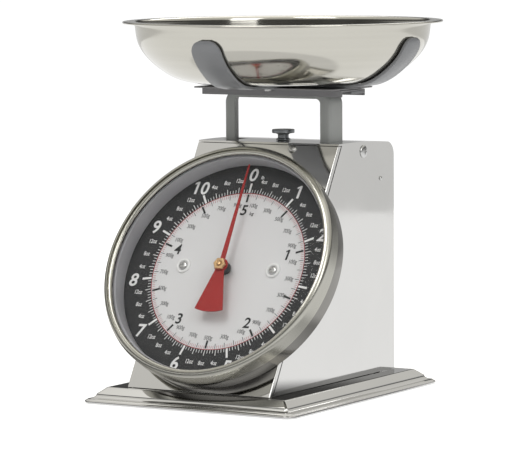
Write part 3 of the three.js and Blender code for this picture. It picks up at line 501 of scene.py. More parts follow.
def base():
    """The stepped base. Its outlines are given as (distance in from the edge, height)."""
    def level(inset, z):
        radius = max(BASE_CORNER - inset, BASE_LEAST_CORNER)
        return [(x, y, z) for x, y in rounded_rectangle(
            BASE_HALF_WIDTH - inset, BASE_HALF_DEPTH - inset, radius)]

    lip = arc((0.65, 1.45), 0.65, 270, 90, 8)
    cove_inset, cove_height, cove_reach, cove_drop = 2, 6.3, 5.3, 3.2
    cove = [(cove_inset + cove_reach * math.cos(math.radians(a)),
             cove_height + cove_drop * math.sin(math.radians(a))) for a in range(-90, 1, 9)]
    slope = bezier((12.2, 10.2), (12.7, BASE_TOP), (13.6, BASE_TOP), 4)
    outside = [*lip, (1.3, 2.4), *cove, (7.5, 6.5), *slope]
    inside = rounded([(1.5, 0.8), (1.5, 1.5), (3.4, 2), (8, 2.4), (8.9, 5.2), (13.6, 9.5)], 0.5, 2, False)
    steps = [*reversed(inside), *outside]
    piece("base_plinth_steel", loft([level(*step) for step in steps]), POLISHED,
          replaces=["base_plinth"], angle=24)

    cover = extrude(
        rounded_rectangle(BASE_HALF_WIDTH - COVER_INSET, BASE_HALF_DEPTH - COVER_INSET, 4), 2.4, 3.4)
    piece("base_cover_plate", cover, ZINC, replaces=["bottom_cover"], edges=0.25)
    for end in ("front", "rear"):
        for side in ("left", "right"):
            low, high = span(f"foot_{end}_{side}", BODY)
            middle = (low + high) / 2
            profile = rounded([(0.001, 0), (7, 0), (7.5, 0.6), (7.5, 2.1), (3, 2.1), (3, 3.7), (4.2, 4),
                               (2.6, FOOT_HEIGHT), (0.001, FOOT_HEIGHT)], 0.4, 3, False)
            foot = lathe([(0, 0), *profile[1:-1], (0, FOOT_HEIGHT)], 48)
            place = BODY @ Matrix.Translation((middle.x * MM, middle.y * MM, 0))
            piece(f"rubber_foot_{end}_{side}", foot, RUBBER, place=place,
                  replaces=[f"foot_{end}_{side}"])


# ---- Housing ----

HOUSING_CORNER = 10
ROOF_REAR = 173.6
ROOF_LINE = bezier((8.7, HOUSING_TOP), (46, HOUSING_TOP + 0.8),
                   (HOUSING_BACK - HOUSING_CORNER, ROOF_REAR), 24)
SIDE_SCREW = (43, 168.5)       # Y and Z of the screw on each side
SIDE_RIVET = (67.5, 148.2)
PANEL_DEPTH = 3.5              # how far the front panel's folded edges reach back
PANEL_SEAM = 0.8               # gap between those edges and the housing's sides
FAR_FRONT = -200               # a Y that is clear of the housing, for cutters
YOKE_FLANGE = 8.6              # width of the yoke's front flange on its legs
YOKE_ROOM = 0.9                # room round the yoke's legs where they pass the roof


def drill_x(radius, y, z, reach=60):
    return extrude(arc((y, z), radius, 0, 360, 24)[:-1], -reach, reach, "x")


def housing():
    def outline(inset, floor, front):
        roof = [(y, z - inset) for y, z in ROOF_LINE]
        rear = arc((HOUSING_BACK - HOUSING_CORNER, ROOF_REAR - HOUSING_CORNER),
                   HOUSING_CORNER - inset, 90, 0, 12)[1:]
        return [(panel_y(floor, front), floor), *roof, *rear, (HOUSING_BACK - inset, floor)]

    inner = HOUSING_HALF_WIDTH - SHEET
    walls = extrude(outline(0, HOUSING_FLOOR, 0), -HOUSING_HALF_WIDTH, HOUSING_HALF_WIDTH, "x")
    under_roof = HOUSING_TOP - SHEET
    hollow = extrude([(FAR_FRONT, 0), (-90, under_roof), *outline(SHEET, 0, 0)[1:]], -inner, inner, "x")
    seam = -(PANEL_DEPTH + PANEL_SEAM)
    front = extrude([(FAR_FRONT, 0), (panel_y(0, seam), 0), (panel_y(under_roof, seam), under_roof),
                     (FAR_FRONT, under_roof)], -70, 70, "x")
    yoke_low, yoke_high = span("yoke", BODY)
    slot_x = (yoke_high.x - YOKE_FLANGE - YOKE_ROOM, yoke_high.x + YOKE_ROOM)
    slots = [block((side * slot_x[0], side * slot_x[1])[::side],
                   (yoke_low.y - YOKE_ROOM, yoke_high.y + YOKE_ROOM), (165, 185)) for side in (-1, 1)]
    knob_hole = moved(extrude(arc((0, 0), 4.4, 0, 360, 32)[:-1], 165, 185),
                      Matrix.Translation((0, WEIGH_Y, 0)))
    piece("housing_sheet", walls, POLISHED, replaces=["housing_shell"],
          cuts=[hollow, front, *slots, knob_hole, drill_x(2.3, *SIDE_SCREW),
                drill_x(1.2, *SIDE_RIVET)], edges=0.45, angle=25)
    flanges = [block((side * (inner - 9), side * (inner - 0.2))[::side],
                     (-70, HOUSING_BACK - SHEET - 0.2), (HOUSING_FLOOR, HOUSING_FLOOR + SHEET))
               for side in (-1, 1)]
    piece("housing_flanges", together(*flanges), POLISHED, edges=0.2)


def front_panel():
    """A sheet whose long sides are folded back with a tight bend."""
    bend, depth = 0.6, PANEL_DEPTH
    half = HOUSING_HALF_WIDTH
    flat = bend + 0.1
    outer = [(-half, -depth), (-half, -flat), *arc((-half + bend, -bend), bend, 180, 90, 8),
             (-half + flat, 0), (half - flat, 0), *arc((half - bend, -bend), bend, 90, 0, 8),
             (half, -flat), (half, -depth)]
    inside = SHEET + 0.3
    inner = [(half - SHEET, -depth), *arc((half - inside, -inside), 0.3, 0, 90, 6),
             *arc((-half + inside, -inside), 0.3, 90, 180, 6), (-half + SHEET, -depth)]
    rings = [[(x, panel_y(z, out), z) for x, out in outer + inner] for z in (HOUSING_FLOOR, PANEL_TOP)]
    piece("front_panel_sheet", loft(rings), POLISHED, replaces=["front_panel"], edges=0.25, angle=20)


def cross_slot(size, width, low, high):
    """A cutter for a cross recess in a screw's head."""
    return (block((-size, size), (-width, width), (low, high)),
            block((-width, width), (-size, size), (low, high)))


def on_side(side, y, z):
    """A place on a side wall of the housing, with Z out of the wall."""
    turn = Matrix.Rotation(side * math.pi / 2, 4, "Y")
    return BODY @ Matrix.Translation((side * HOUSING_HALF_WIDTH * MM, y * MM, z * MM)) @ turn


def screws():
    for side, name in ((-1, "left"), (1, "right")):
        profile = [(0, -6), (1.9, -6), (1.9, 0.1), (4.5, 0.1),
                   *bezier((4.5, 0.4), (3.8, 1.55), (0.05, 1.6), 10), (0, 1.6)]
        piece(f"side_pan_screw_{name}", lathe(profile, 48), SCREW_METAL,
              place=on_side(side, *SIDE_SCREW), replaces=[f"side_screw_{name}"],
              cuts=cross_slot(2.1, 0.42, 0.7, 3), angle=28)
        rivet = [(0, -3), (0.9, -3), (0.9, 0.1), (1.6, 0.1), *bezier((1.6, 0.3), (1.4, 1.1), (0.05, 1.1), 6),
                 (0, 1.1)]
        piece(f"side_pop_rivet_{name}", lathe(rivet, 32), SCREW_METAL,
              place=on_side(side, *SIDE_RIVET), replaces=[f"side_rivet_{name}"])
        low, high = span(f"panel_screw_{name}", DIAL)
        middle = (low + high) / 2
        place = DIAL @ Matrix.Translation((middle.x * MM, middle.y * MM, 0))
        screw = [(0, -7), (1.6, -7), (1.6, 0.05), (3, 0.05), *bezier((3, 0.5), (2.7, 1.6), (0.05, 1.6), 8),
                 (0, 1.6)]
        piece(f"panel_round_screw_{name}", lathe(screw, 40), SCREW_METAL, place=place,
              replaces=[f"panel_screw_{name}"], cuts=cross_slot(1.5, 0.32, 0.8, 3))


# ---- Dial ----

DIAL_FACE = span("dial_plate", DIAL)[1].z
DRUM_RADIUS = span("dial_drum", DIAL)[1].x
BEZEL_RADIUS = span("bezel_ring", DIAL)[1].x
BEZEL_FRONT = span("bezel_ring", DIAL)[1].z
PRINT = 0.05               # thickness of the printed layers
WHITE_DISC = 58.9
POUNDS = 11
KILOGRAMS = 5
OUNCES_IN_POUND = 16
POUND_FIGURES = 73.5       # radii of the rings of figures
OUNCE_FIGURES = 69.2
GRAM_FIGURES = 50.4
KILOGRAM_FIGURES = 46.4
SHAFT_HOLE = 1.8


def flat_ring(inner, outer, low, high, sides=180):
    return lathe([(inner, low), (outer, low), (outer, high), (inner, high)], sides)


def radial_marks(count, inner, outer, width, keep=lambda i: True):
    """Thin printed bars that point at the centre, at the steps of a full turn that keep() accepts."""
    heights = (DIAL_FACE + PRINT * 0.4, DIAL_FACE + PRINT * 2)
    bars = []
    for i in filter(keep, range(count)):
        bar = block((-width / 2, width / 2), (inner, outer), heights)
        bars.append(moved(bar, Matrix.Rotation(-2 * math.pi * i / count, 4, "Z")))
    return together(*bars)


def add_flag(shape, data, height):
    """The slanted stroke at the top of a large 1."""
    top = max(vertex.co.y for vertex in data.vertices)
    left = min(vertex.co.x for vertex in data.vertices if vertex.co.y > top - 0.15 * height * MM)
    level = max(vertex.co.z for vertex in data.vertices)
    outline = [(0.06, 0), (0.04, -0.16), (-0.2, -0.27), (-0.2, -0.13)]
    shape.faces.new([shape.verts.new((left + u * height * MM, top + v * height * MM, level))
                     for u, v in reversed(outline)])


def figures(name, labels, material, slant=0.11, narrow=1.0):
    """Upright printed figures, each given as (text, X, Y, height, weight), as one thing."""
    shape = bmesh.new()
    for text, x, y, height, weight in labels:
        curve = bpy.data.curves.new("figure", "FONT")
        curve.body = text
        curve.size = height / 0.7 * MM
        curve.shear = slant
        curve.offset = weight * height * MM
        curve.extrude = PRINT / 2 * MM
        curve.resolution_u = 4
        curve.align_x = "CENTER"
        holder = bpy.data.objects.new("figure", curve)
        SCENE.collection.objects.link(holder)
        bpy.context.view_layer.update()
        view = bpy.context.evaluated_depsgraph_get()
        data = bpy.data.meshes.new_from_object(holder.evaluated_get(view))
        place = Matrix.Translation(
            ((x - slant * height / 2) * MM, (y - height / 2) * MM, (DIAL_FACE + PRINT * 1.5) * MM))
        data.transform(place @ Matrix.Diagonal((narrow, 1, 1, 1)))
        shape.from_mesh(data)
        if text[0] == "1" and height > 5:
            add_flag(shape, data, height)
        bpy.data.objects.remove(holder)
        bpy.data.meshes.remove(data)
        bpy.data.curves.remove(curve)
    bmesh.ops.remove_doubles(shape, verts=shape.verts, dist=1e-6)
    data = bpy.data.meshes.new(name)
    shape.to_mesh(data)
    shape.free()
    data.materials.append(material)
    thing = bpy.data.objects.new(name, data)
    SCENE.collection.objects.link(thing)
    thing.matrix_world = DIAL
    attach(thing, "case")


def on_circle(radius, share):
    turn = 2 * math.pi * share
    return radius * math.sin(turn), radius * math.cos(turn)


def dial_rings_and_marks():
    layer = (DIAL_FACE, DIAL_FACE + PRINT)
    line = WHITE_DISC + 0.5
    piece("dial_black_ring", flat_ring(line, 83.5, *layer), PRINT_BLACK, place=DIAL)
    piece("dial_red_line", flat_ring(WHITE_DISC, line, *layer), PRINT_RED, place=DIAL)

    ounces = POUNDS * OUNCES_IN_POUND
    start = WHITE_DISC + 0.7
    piece("dial_ounce_marks", together(
        radial_marks(ounces, start, start + 2.4, 0.38, lambda i: i % 4),
        radial_marks(ounces, start, start + 4.2, 0.45, lambda i: i % 4 == 0 and i % OUNCES_IN_POUND)),
        PRINT_WHITE, place=DIAL)
    piece("dial_pound_marks", radial_marks(POUNDS, start, start + 7.2, 1.55), PRINT_WHITE, place=DIAL)

    edge = WHITE_DISC - 0.3
    steps = KILOGRAMS * 50
    piece("dial_gram_marks", radial_marks(steps, edge - 2.2, edge, 0.3, lambda i: i % 5),
          PRINT_PINK, place=DIAL)
    piece("dial_hundred_gram_marks",
          radial_marks(steps, edge - 3.6, edge, 0.5, lambda i: i % 5 == 0 and i % 25),
          PRINT_GREY, place=DIAL)
    piece("dial_kilogram_marks", radial_marks(KILOGRAMS * 2, edge - 6.2, edge - 0.2, 1.5),
          PRINT_BLACK, place=DIAL)


def dial_figures():
    pounds = [(str(i), *on_circle(POUND_FIGURES, i / POUNDS), 9.3, 0.028) for i in range(POUNDS)]
    x, y = on_circle(POUND_FIGURES, 0)
    pounds.append(("lb", x + 7.6, y - 1.8, 2.6, 0.01))
    figures("dial_pound_figures", pounds, PRINT_WHITE)
    quarters = 4 * POUNDS
    figures("dial_ounce_figures", [
        (f"{4 * (i % 4)}oz", *on_circle(OUNCE_FIGURES, i / quarters), 3.1, 0.015)
        for i in range(quarters) if i % 4], PRINT_WHITE, narrow=0.74)
    kilograms = [(str(i), *on_circle(KILOGRAM_FIGURES, i / KILOGRAMS), 7.6, 0.026)
                 for i in range(1, KILOGRAMS + 1)]
    kilograms.append(("kg", 6.6, KILOGRAM_FIGURES - 2.4, 2.6, 0.01))
    figures("dial_kilogram_figures", kilograms, PRINT_BLACK)
    hundreds = 10 * KILOGRAMS
    figures("dial_gram_figures", [
        (f"{100 * (i % 10)}g", *on_circle(GRAM_FIGURES, i / hundreds), 3, 0.012)
        for i in range(hundreds) if i % 2], PRINT_GREY, narrow=0.82)


def dial():
    rim = span("dial_drum", DIAL)[1].z
    drum = rounded([(12, 0.3), (DRUM_RADIUS, 0.3), (DRUM_RADIUS, rim), (DRUM_RADIUS - SHEET, rim),
                    (DRUM_RADIUS - SHEET, 1.5), (12, 1.5)], 0.5, 3)
    piece("dial_drum_steel", lathe(drum, 192), DRUM_STEEL_PAINTED_DARK, place=DIAL, replaces=["dial_drum"])

    lens_low, lens_high = span("dial_lens", DIAL)
    front, seat = BEZEL_FRONT, lens_high.z + GAP
    crest = arc((BEZEL_RADIUS - 4, front - 4), 4, 0, 84, 14)
    groove = [*bezier(crest[-1], (84.3, front - 0.1), (84.1, front - 1.9), 4)[1:], (83.5, front - 2)]
    inner_band = bezier((83.4, front - 1.4), (81.9, front - 1.2), (81.2, front - 3), 8)
    bezel = [(86.3, 12), (BEZEL_RADIUS, 12), *crest, *groove, *inner_band, (81.2, seat), (86.3, seat)]
    piece("bezel_rolled_ring", lathe(bezel, 192), BEZEL_STEEL, place=DIAL, replaces=["bezel_ring"],
          angle=45)

    lens = rounded([(0.01, lens_low.z), (85.8, lens_low.z), (85.8, lens_high.z), (0.01, lens_high.z)],
                   0.2, 2, False)
    piece("dial_clear_pane", lathe([(0, lens_low.z), *lens[1:-1], (0, lens_high.z)], 144), LENS,
          place=DIAL, replaces=["dial_lens"])
    spacer = rounded([(80.5, DIAL_FACE + GAP), (82.5, DIAL_FACE + GAP), (82.5, rim), (80.2, rim)], 0.4, 3)
    piece("dial_inner_ring", lathe(spacer, 192), SPACER_GREY, place=DIAL, replaces=["dial_spacer_ring"])
    plate = [(2.6, DIAL_FACE - 1), (84.3, DIAL_FACE - 1), (84.3, DIAL_FACE), (2.6, DIAL_FACE)]
    piece("dial_enamel_plate", lathe(plate, 192), DIAL_WHITE, place=DIAL, replaces=["dial_plate"])
    dial_rings_and_marks()
    dial_figures()

    for name in ("left", "right"):
        low, high = span(f"dial_screw_{name}", DIAL)
        middle = (low + high) / 2
        place = DIAL @ Matrix.Translation((middle.x * MM, middle.y * MM, 0))
        boss = [(3.3, DIAL_FACE), (5.7, DIAL_FACE), *arc((4.5, DIAL_FACE + 0.2), 1.15, 0, 180, 12)]
        piece(f"dial_boss_{name}", lathe(boss, 48), PRINT_WHITE, place=place)
        head = DIAL_FACE + 0.1
        screw = [(0, -7), (1.5, -7), (1.5, head), (2.9, head), *bezier(
            (2.9, head + 0.9), (2.6, head + 1.5), (0.05, head + 1.5), 6), (0, head + 1.5)]
        piece(f"dial_round_screw_{name}", lathe(screw, 40), SCREW_METAL, place=place,
              replaces=[f"dial_screw_{name}"], cuts=cross_slot(1.8, 0.42, head + 0.7, head + 4))


# ---- Pointer ----

def pointer():
    low, high = span("pointer", DIAL)
    tail, tail_angle = 35, 18.7
    outline = [(0.55, high.y), (-0.55, high.y), (-1.9, 5.6),
               *arc((0, 0), 5.2, 112, 228, 12),
               *arc((0, 0), tail, 270 - tail_angle, 270 + tail_angle, 16),
               *arc((0, 0), 5.2, -48, 68, 12), (1.9, 5.6)]
    bore = extrude(arc((0, 0), SHAFT_HOLE, 0, 360, 24)[:-1], 10, 30)
    piece("pointer_needle", extrude(outline, low.z, high.z), POINTER_RED, "pointer", DIAL, ["pointer"],
          cuts=[bore], edges=0.2)
    hub_low, hub_high = (corner.z for corner in span("pointer_hub", DIAL))
    hub = rounded([(SHAFT_HOLE, hub_low), (4.6, hub_low), (4.6, hub_low + 2.5), (3.4, hub_high),
                   (SHAFT_HOLE, hub_high)], 0.4, 3)
    piece("pointer_collar", lathe(hub, 48), BLACK_PLASTIC, "pointer", DIAL, ["pointer_hub"])
    nut_low, nut_high = span("pointer_nut", DIAL)
    nut = extrude(arc((0, 0), 4.6, 0, 360, 6)[:-1], nut_low.z, nut_high.z)
    piece("pointer_hex_nut", nut, BRASS, "pointer", DIAL, ["pointer_nut"], cuts=[bore], edges=0.5)


# ---- Yoke, platform and cradle ----

def arch(half_width, top, radius, bottom, support=170):
    """An arch's line from its left foot up and over to its right foot, with a point on each leg."""
    middle = top - radius
    return [(-half_width, bottom), (-half_width, support),
            *arc((-half_width + radius, middle), radius, 180, 90, 12), (0, top),
            *arc((half_width - radius, middle), radius, 90, 0, 12),
            (half_width, support), (half_width, bottom)]


def yoke():
    low, high = span("yoke", BODY)
    sheet, bend, front, back = 1.5, 2.6, low.y, high.y
    beam_underside = 205.8
    outside = arch(high.x, high.z, 9, low.z)
    inside = arch(high.x - YOKE_FLANGE, beam_underside, 3.5, low.z)
    rings = []
    for outer, inner in zip(outside, inside):
        inward = Vector((inner[0] - outer[0], inner[1] - outer[1]))
        width = inward.length
        inward.normalize()
        section = [(0.3, back), (0, back - 0.3), *arc((bend, front + bend), bend, 180, 270, 7),
                   (width - 0.3, front), (width, front + 0.4), (width, front + sheet - 0.4),
                   (width - 0.3, front + sheet),
                   *arc((bend, front + bend), bend - sheet, 270, 180, 5),
                   (sheet, back - 0.3), (sheet - 0.3, back)]
        rings.append([(outer[0] + inward.x * u, y, outer[1] + inward.y * u) for u, y in section])
    slots = [block((-50, 50), (28, 32.7), (z - 2, z + 2)) for z in (118, 158)]
    piece("yoke_bent_frame", loft(rings), GREY_PAINT, "carriage", BODY, ["yoke"], cuts=slots, angle=40)


TAB_BOTTOM = 209.4


def platform():
    """The channel on the yoke, its end tabs and the sheet on it."""
    low, high = span("platform_tray", BODY)
    half, sheet = high.x, SHEET
    section = [(low.y, low.z), (low.y, high.z), (high.y, high.z), (high.y, low.z), (high.y - sheet, low.z),
               (high.y - sheet, high.z - sheet), (low.y + sheet, high.z - sheet), (low.y + sheet, low.z)]
    piece("platform_channel", extrude(section, -half, half, "x"), TRAY_PAINT, "carriage", BODY,
          ["platform_tray"], edges=0.35)
    inner_y, inner_z = high.y - sheet - 0.05, high.z - sheet - 0.05
    tabs = [block((side * (half - sheet), side * half)[::side], (27, inner_y), (TAB_BOTTOM, inner_z))
            for side in (-1, 1)]
    piece("platform_end_tabs", together(*tabs), DARK_PAINT, "carriage", BODY, edges=0.3)
    low, high = span("platform_sheet", BODY)
    plate = extrude(rounded([(low.x, low.y), (high.x, low.y), (high.x, high.y), (low.x, high.y)], 2, 4),
                    low.z, high.z)
    piece("platform_top_plate", plate, TRAY_PAINT, "carriage", BODY, ["platform_sheet"], edges=0.25)


BOWL_BOTTOM = 216.5
BOWL_SHEET = 1
BOWL_SIDE = spline([(52, BOWL_BOTTOM), (62, 216.9), (71, 218.6), (79, 221.9), (86.5, 226.8),
                    (93.5, 232.8), (99, 239.6), (102.3, 247), (103.8, 256.5)], 8)
ARM_TIP = 9                # length over which an arm narrows to its round tip
RIVET_RADIUS = 20          # distance of the arms' rivets from the middle


def cradle_arm_mesh():
    """A strap that lies flat, rises along the bowl and ends in a round tip."""
    low, high = span("cradle_arm_rear", SCALE_AXIS)
    thick, half, start = 2.0, high.x, low.y
    side = [point for point in offset(BOWL_SIDE, 0.5) if point[0] > 66 and point[1] < high.z + 1]
    line = [*((y, low.z + thick) for y in (start, start + 3, 30, 50, 59)), *side[2:]]
    lower = [(y, max(z, low.z)) for y, z in offset(line, thick)]
    rings = []
    for (inner_y, inner_z), (outer_y, outer_z) in zip(line, lower):
        past = ARM_TIP - max(high.z - inner_z, 0)
        width = half
        if past >= 0:
            width += math.sqrt(max(ARM_TIP ** 2 - past ** 2, 0.6)) - ARM_TIP
        across = Vector((outer_y - inner_y, outer_z - inner_z))
        section = rounded([(-width, 0), (width, 0), (width, 1), (-width, 1)], 0.28, 3)
        rings.append([(x, inner_y + across.x * share, inner_z + across.y * share) for x, share in section])
    return loft(rings)


def cradle():
    mesh = cradle_arm_mesh()
    for turn, name in enumerate(("rear", "left", "front", "right")):
        place = SCALE_AXIS @ Matrix.Rotation(turn * math.pi / 2, 4, "Z")
        hole = moved(extrude(arc((0, 0), 3.1, 0, 360, 24)[:-1], 214.9, 220),
                     Matrix.Translation((0, RIVET_RADIUS, 0)))
        piece(f"cradle_strap_{name}", mesh, DARK_PAINT, "carriage", place, [f"cradle_arm_{name}"],
              cuts=[hole], angle=50)
        low, high = span(f"arm_rivet_{name}", SCALE_AXIS)
        head, foot = high.z, low.z
        rivet = rounded([(0.01, foot), (2.6, foot + 0.3), (3, foot + 1.5), (1.8, foot + 1.5),
                         (1.8, head - 0.9), (2.8, head - 0.9), (2.8, head), (0.01, head)], 0.25, 2, False)
        middle = (low + high) / 2
        place = SCALE_AXIS @ Matrix.Translation((middle.x * MM, middle.y * MM, 0))
        piece(f"arm_solid_rivet_{name}", lathe([(0, foot), *rivet[1:-1], (0, head)], 32), ZINC, "carriage",
              place, [f"arm_rivet_{name}"])


# ---- Bowl ----

def bowl():
    rim = span("bowl", SCALE_AXIS)[1]
    top, reach = rim.z, rim.x
    outside = BOWL_SIDE
    inside = offset(outside, -BOWL_SHEET)
    floor = BOWL_BOTTOM + BOWL_SHEET
    bend_out = bezier(outside[-1], (104.0, top - 1.25), (105.6, top - 1.25), 5)[1:]
    edge = arc((reach - 0.75, top - 0.75), 0.75, -90, 90, 8)
    bend_in = bezier((105.4, top), (102.9, top), inside[-1], 6)
    profile = [*((radius, BOWL_BOTTOM) for radius in (0, 20, 40)), *outside, *bend_out,
               (107, top - 1.4), *edge, (107, top), *bend_in, *inside[::-1][1:],
               *((radius, floor) for radius in (40, 20, 0))]
    piece("bowl_spun_steel", lathe(profile, 192), BOWL_STEEL, "bowl", SCALE_AXIS, ["bowl"], angle=60)


# ---- Zero knob, springs and the parts inside ----

def zero_knob():
    top, foot = span("zero_knob", SCALE_AXIS)[1].z, 152
    roof = HOUSING_TOP + 0.3
    profile = rounded([
        (0.01, foot), (2.2, foot), (2.2, roof - 3), (3.85, roof - 2.6), (3.85, roof + 0.3),
        (5.2, roof + 0.3), (5.2, roof + 0.8), (3.85, roof + 1.6), (3.85, top - 3.6), (5.2, top - 2.9),
        (7.7, top - 2.6), (8, top - 2.3), (8, top - 0.3), (7.6, top), (0.01, top)], 0.3, 3, False)
    piece("zero_thumb_knob", lathe([(0, foot), *profile[1:-1], (0, top)], 64), KNOB_METAL, "zero_knob",
          SCALE_AXIS, ["zero_knob"])


def springs():
    """Coiled springs in the places of the CAD springs, left on no rigid body. Their tops stay clear of the
    hanger at its lowest.
    """
    turns, steps, wire, radius = 8, 28, 0.9, 5.5
    clearance = max(map(abs, JOINTS["hanger_lift"]["range_m"])) / MM + 0.2
    for name in ("left", "right"):
        low, high = span(f"main_spring_{name}", SCALE_AXIS)
        middle = (low + high) / 2
        length = high.z - clearance - low.z - 2 * wire
        count = turns * steps
        rings = []
        for i in range(count + 1):
            angle = 2 * math.pi * i / steps
            rise = low.z + wire + length * i / count
            outward = Vector((math.cos(angle), math.sin(angle), 0))
            centre = Vector((middle.x, 0, rise)) + outward * radius
            rings.append([centre + outward * u + Vector((0, 0, v))
                          for u, v in arc((0, 0), wire, 0, 360, 12)[:-1]])
        thing = piece(f"extension_spring_{name}", loft(rings), ZINC, "case", SCALE_AXIS,
                      [f"main_spring_{name}"])
        thing.parent = None
        del thing["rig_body"]
        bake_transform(thing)


BRASS_NODES = ["pinion_shaft", "rear_bush", "front_bush"]
ZINC_NODES = [
    "base_screw_front_left", "base_screw_front_right", "base_screw_rear_left", "base_screw_rear_right",
    "dial_post_left", "dial_post_right", "rack", "bearing_bracket", "lower_crossbar", "upper_link",
    "upper_link_pin", "lower_link", "lower_link_pin", "link_frame", "frame_rivet_lower",
    "frame_rivet_upper", "spring_hanger",
]


def inner_nodes():
    """The CAD's own solids of the works inside, with their edges softened."""
    for name in BRASS_NODES + ZINC_NODES:
        material = BRASS if name in BRASS_NODES else ZINC
        node = NODES[name]
        node.data.materials.clear()
        node.data.materials.append(material)
        weld = node.modifiers.new("weld", "WELD")
        weld.merge_threshold = 1e-6
        soften(node, 0.15)
        smooth(node.data, 35)


# ---- Camera, lights and table ----

def camera():
    azimuth, elevation, roll = math.radians(30.96), math.radians(5.37), math.radians(-0.37)
    target = Vector((-1.14, BASE_Y, 109.7)) * MM
    distance = 2.4359
    back = Vector((math.sin(azimuth) * math.cos(elevation), -math.cos(azimuth) * math.cos(elevation),
                   math.sin(elevation)))
    data = bpy.data.cameras.new("camera")
    data.sensor_width = 36
    data.lens = 240.55
    data.clip_end = 50
    thing = bpy.data.objects.new("camera", data)
    SCENE.collection.objects.link(thing)
    turn = (-back).to_track_quat("-Z", "Y").to_matrix().to_4x4() @ Matrix.Rotation(roll, 4, "Z")
    thing.matrix_world = Matrix.Translation(target + back * distance) @ turn
    SCENE.camera = thing


def softbox(name, place, target, size, power):
    data = bpy.data.lights.new(name, "AREA")
    data.shape = "RECTANGLE"
    data.size, data.size_y = size
    data.energy = power
    thing = bpy.data.objects.new(name, data)
    SCENE.collection.objects.link(thing)
    thing.location = place
    thing.rotation_euler = (Vector(target) - Vector(place)).to_track_quat("-Z", "Y").to_euler()


def diffuse(tree, colour):
    node = tree.nodes.new("ShaderNodeBsdfDiffuse")
    node.inputs["Color"].default_value = (*colour, 1)
    return node.outputs["BSDF"]


def mixed(tree, ray, no, yes):
    """One shader for the rays of a kind, such as "Is Camera Ray", and another for the rest."""
    path = tree.nodes.new("ShaderNodeLightPath")
    mix = tree.nodes.new("ShaderNodeMixShader")
    tree.links.new(path.outputs[ray], mix.inputs[0])
    tree.links.new(no, mix.inputs[1])
    tree.links.new(yes, mix.inputs[2])
    return mix.outputs["Shader"]


def mirror_level(tree):
    """How bright mirrors see the table, as painted light: a painted shadow near the scale, unless they look
    steeply down at it.
    """
    geometry = tree.nodes.new("ShaderNodeNewGeometry")
    distance = tree.nodes.new("ShaderNodeVectorMath")
    distance.operation = "DISTANCE"
    distance.inputs[1].default_value = (-0.03, -0.08, 0)
    tree.links.new(geometry.outputs["Position"], distance.inputs[0])
    far = spread(tree, distance.outputs["Value"], 0.04, 1.08, 0.15, 0.21)
    parts = tree.nodes.new("ShaderNodeSeparateXYZ")
    tree.links.new(geometry.outputs["Incoming"], parts.inputs["Vector"])
    steep = spread(tree, parts.outputs["Z"], 0.08, 0.85, 0.3, 0.75)
    either = tree.nodes.new("ShaderNodeMath")
    either.operation = "MAXIMUM"
    tree.links.new(far, either.inputs[0])
    tree.links.new(steep, either.inputs[1])
    return either.outputs["Value"]


def table():
    """A round pale table. The camera, mirrors and other rays each see it in their own way: mirrors see a
    painted glow with a painted shadow near the scale.
    """
    data = mesh_data("table", lathe([(0, -20), (1500, -20), (1500, 0), (0, 0)], 96))
    thing = bpy.data.objects.new("table", data)
    SCENE.collection.objects.link(thing)
    material = bpy.data.materials.new("table_white")
    material.use_nodes = True
    tree = material.node_tree
    tree.nodes.clear()
    glow = tree.nodes.new("ShaderNodeEmission")
    glow.inputs["Strength"].default_value = 0.42
    seen = tree.nodes.new("ShaderNodeAddShader")
    tree.links.new(diffuse(tree, (0.86, 0.86, 0.86)), seen.inputs[0])
    tree.links.new(glow.outputs["Emission"], seen.inputs[1])
    # Mirrors see the table as a glow of its own that is painted darker near the scale: painted reflection
    # and painted shadow.
    mirrored_painted_glow = tree.nodes.new("ShaderNodeEmission")
    tree.links.new(mirror_level(tree), mirrored_painted_glow.inputs["Strength"])
    other = mixed(tree, "Is Glossy Ray", diffuse(tree, (0.75, 0.75, 0.74)), mirrored_painted_glow.outputs["Emission"])
    output = tree.nodes.new("ShaderNodeOutputMaterial")
    tree.links.new(mixed(tree, "Is Camera Ray", other, seen.outputs["Shader"]), output.inputs["Surface"])
    data.materials.append(material)


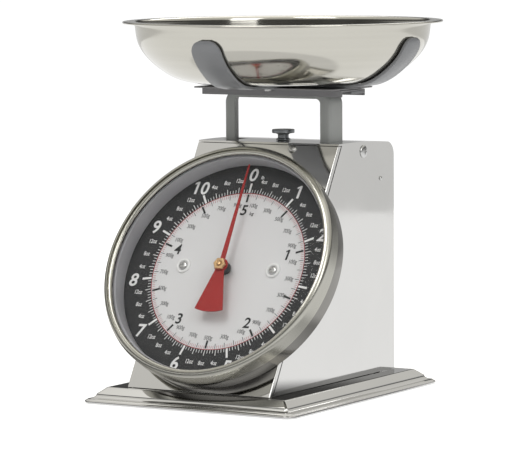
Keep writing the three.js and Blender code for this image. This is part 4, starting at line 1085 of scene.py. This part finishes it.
# The room's brightness by height, from straight down (0) to straight up (1).
ROOM_LEVELS = [
    (0.0, 0.5), (0.44, 0.76), (0.49, 0.80), (0.515, 0.38), (0.557, 0.42), (0.572, 0.06),
    (0.63, 0.06), (0.68, 0.7), (0.8, 0.72), (0.88, 0.80), (0.94, 1.2), (1.0, 1.3),
]


def studio():
    """White behind the scale. Its mirrors see a soft grey room with a dark band and a bright ceiling."""
    world = bpy.data.worlds.new("studio")
    SCENE.world = world
    world.use_nodes = True
    tree = world.node_tree
    tree.nodes.clear()
    coordinates = tree.nodes.new("ShaderNodeTexCoord")
    parts = tree.nodes.new("ShaderNodeSeparateXYZ")
    tree.links.new(coordinates.outputs["Generated"], parts.inputs["Vector"])
    height = tree.nodes.new("ShaderNodeMapRange")
    height.inputs["From Min"].default_value = -1
    tree.links.new(parts.outputs["Z"], height.inputs["Value"])
    ramp = tree.nodes.new("ShaderNodeValToRGB")
    tree.links.new(height.outputs["Result"], ramp.inputs["Fac"])
    elements = ramp.color_ramp.elements
    elements.remove(elements[0])
    elements[0].position = ROOM_LEVELS[0][0]
    for place, level in ROOM_LEVELS:
        element = elements[0] if place == 0 else elements.new(place)
        warmth = 0.06 if place > 0.6 else 0.01
        element.color = (level, level * (1 - warmth / 4), level * (1 - warmth), 1)
    room = tree.nodes.new("ShaderNodeBackground")
    tree.links.new(ramp.outputs["Color"], room.inputs["Color"])
    white = tree.nodes.new("ShaderNodeBackground")
    white.inputs["Color"].default_value = (1, 1, 1, 1)
    white.inputs["Strength"].default_value = 1.05
    output = tree.nodes.new("ShaderNodeOutputWorld")
    surface = mixed(tree, "Is Camera Ray", room.outputs["Background"], white.outputs["Background"])
    tree.links.new(surface, output.inputs["Surface"])
    SCENE.view_settings.view_transform = "Standard"

    middle = (0, BASE_Y * MM, 0.12)
    softbox("key_light", (-0.15, -1.6, 2.3), middle, (1.1, 1.1), 19)
    softbox("fill_light", (1.8, -0.9, 1.3), middle, (0.9, 1.2), 9)
    softbox("rear_light", (-0.6, 1.7, 1.6), middle, (1.2, 0.8), 9)


base()
housing()
front_panel()
screws()
dial()
pointer()
yoke()
platform()
cradle()
bowl()
zero_knob()
springs()
inner_nodes()
camera()
studio()
table()
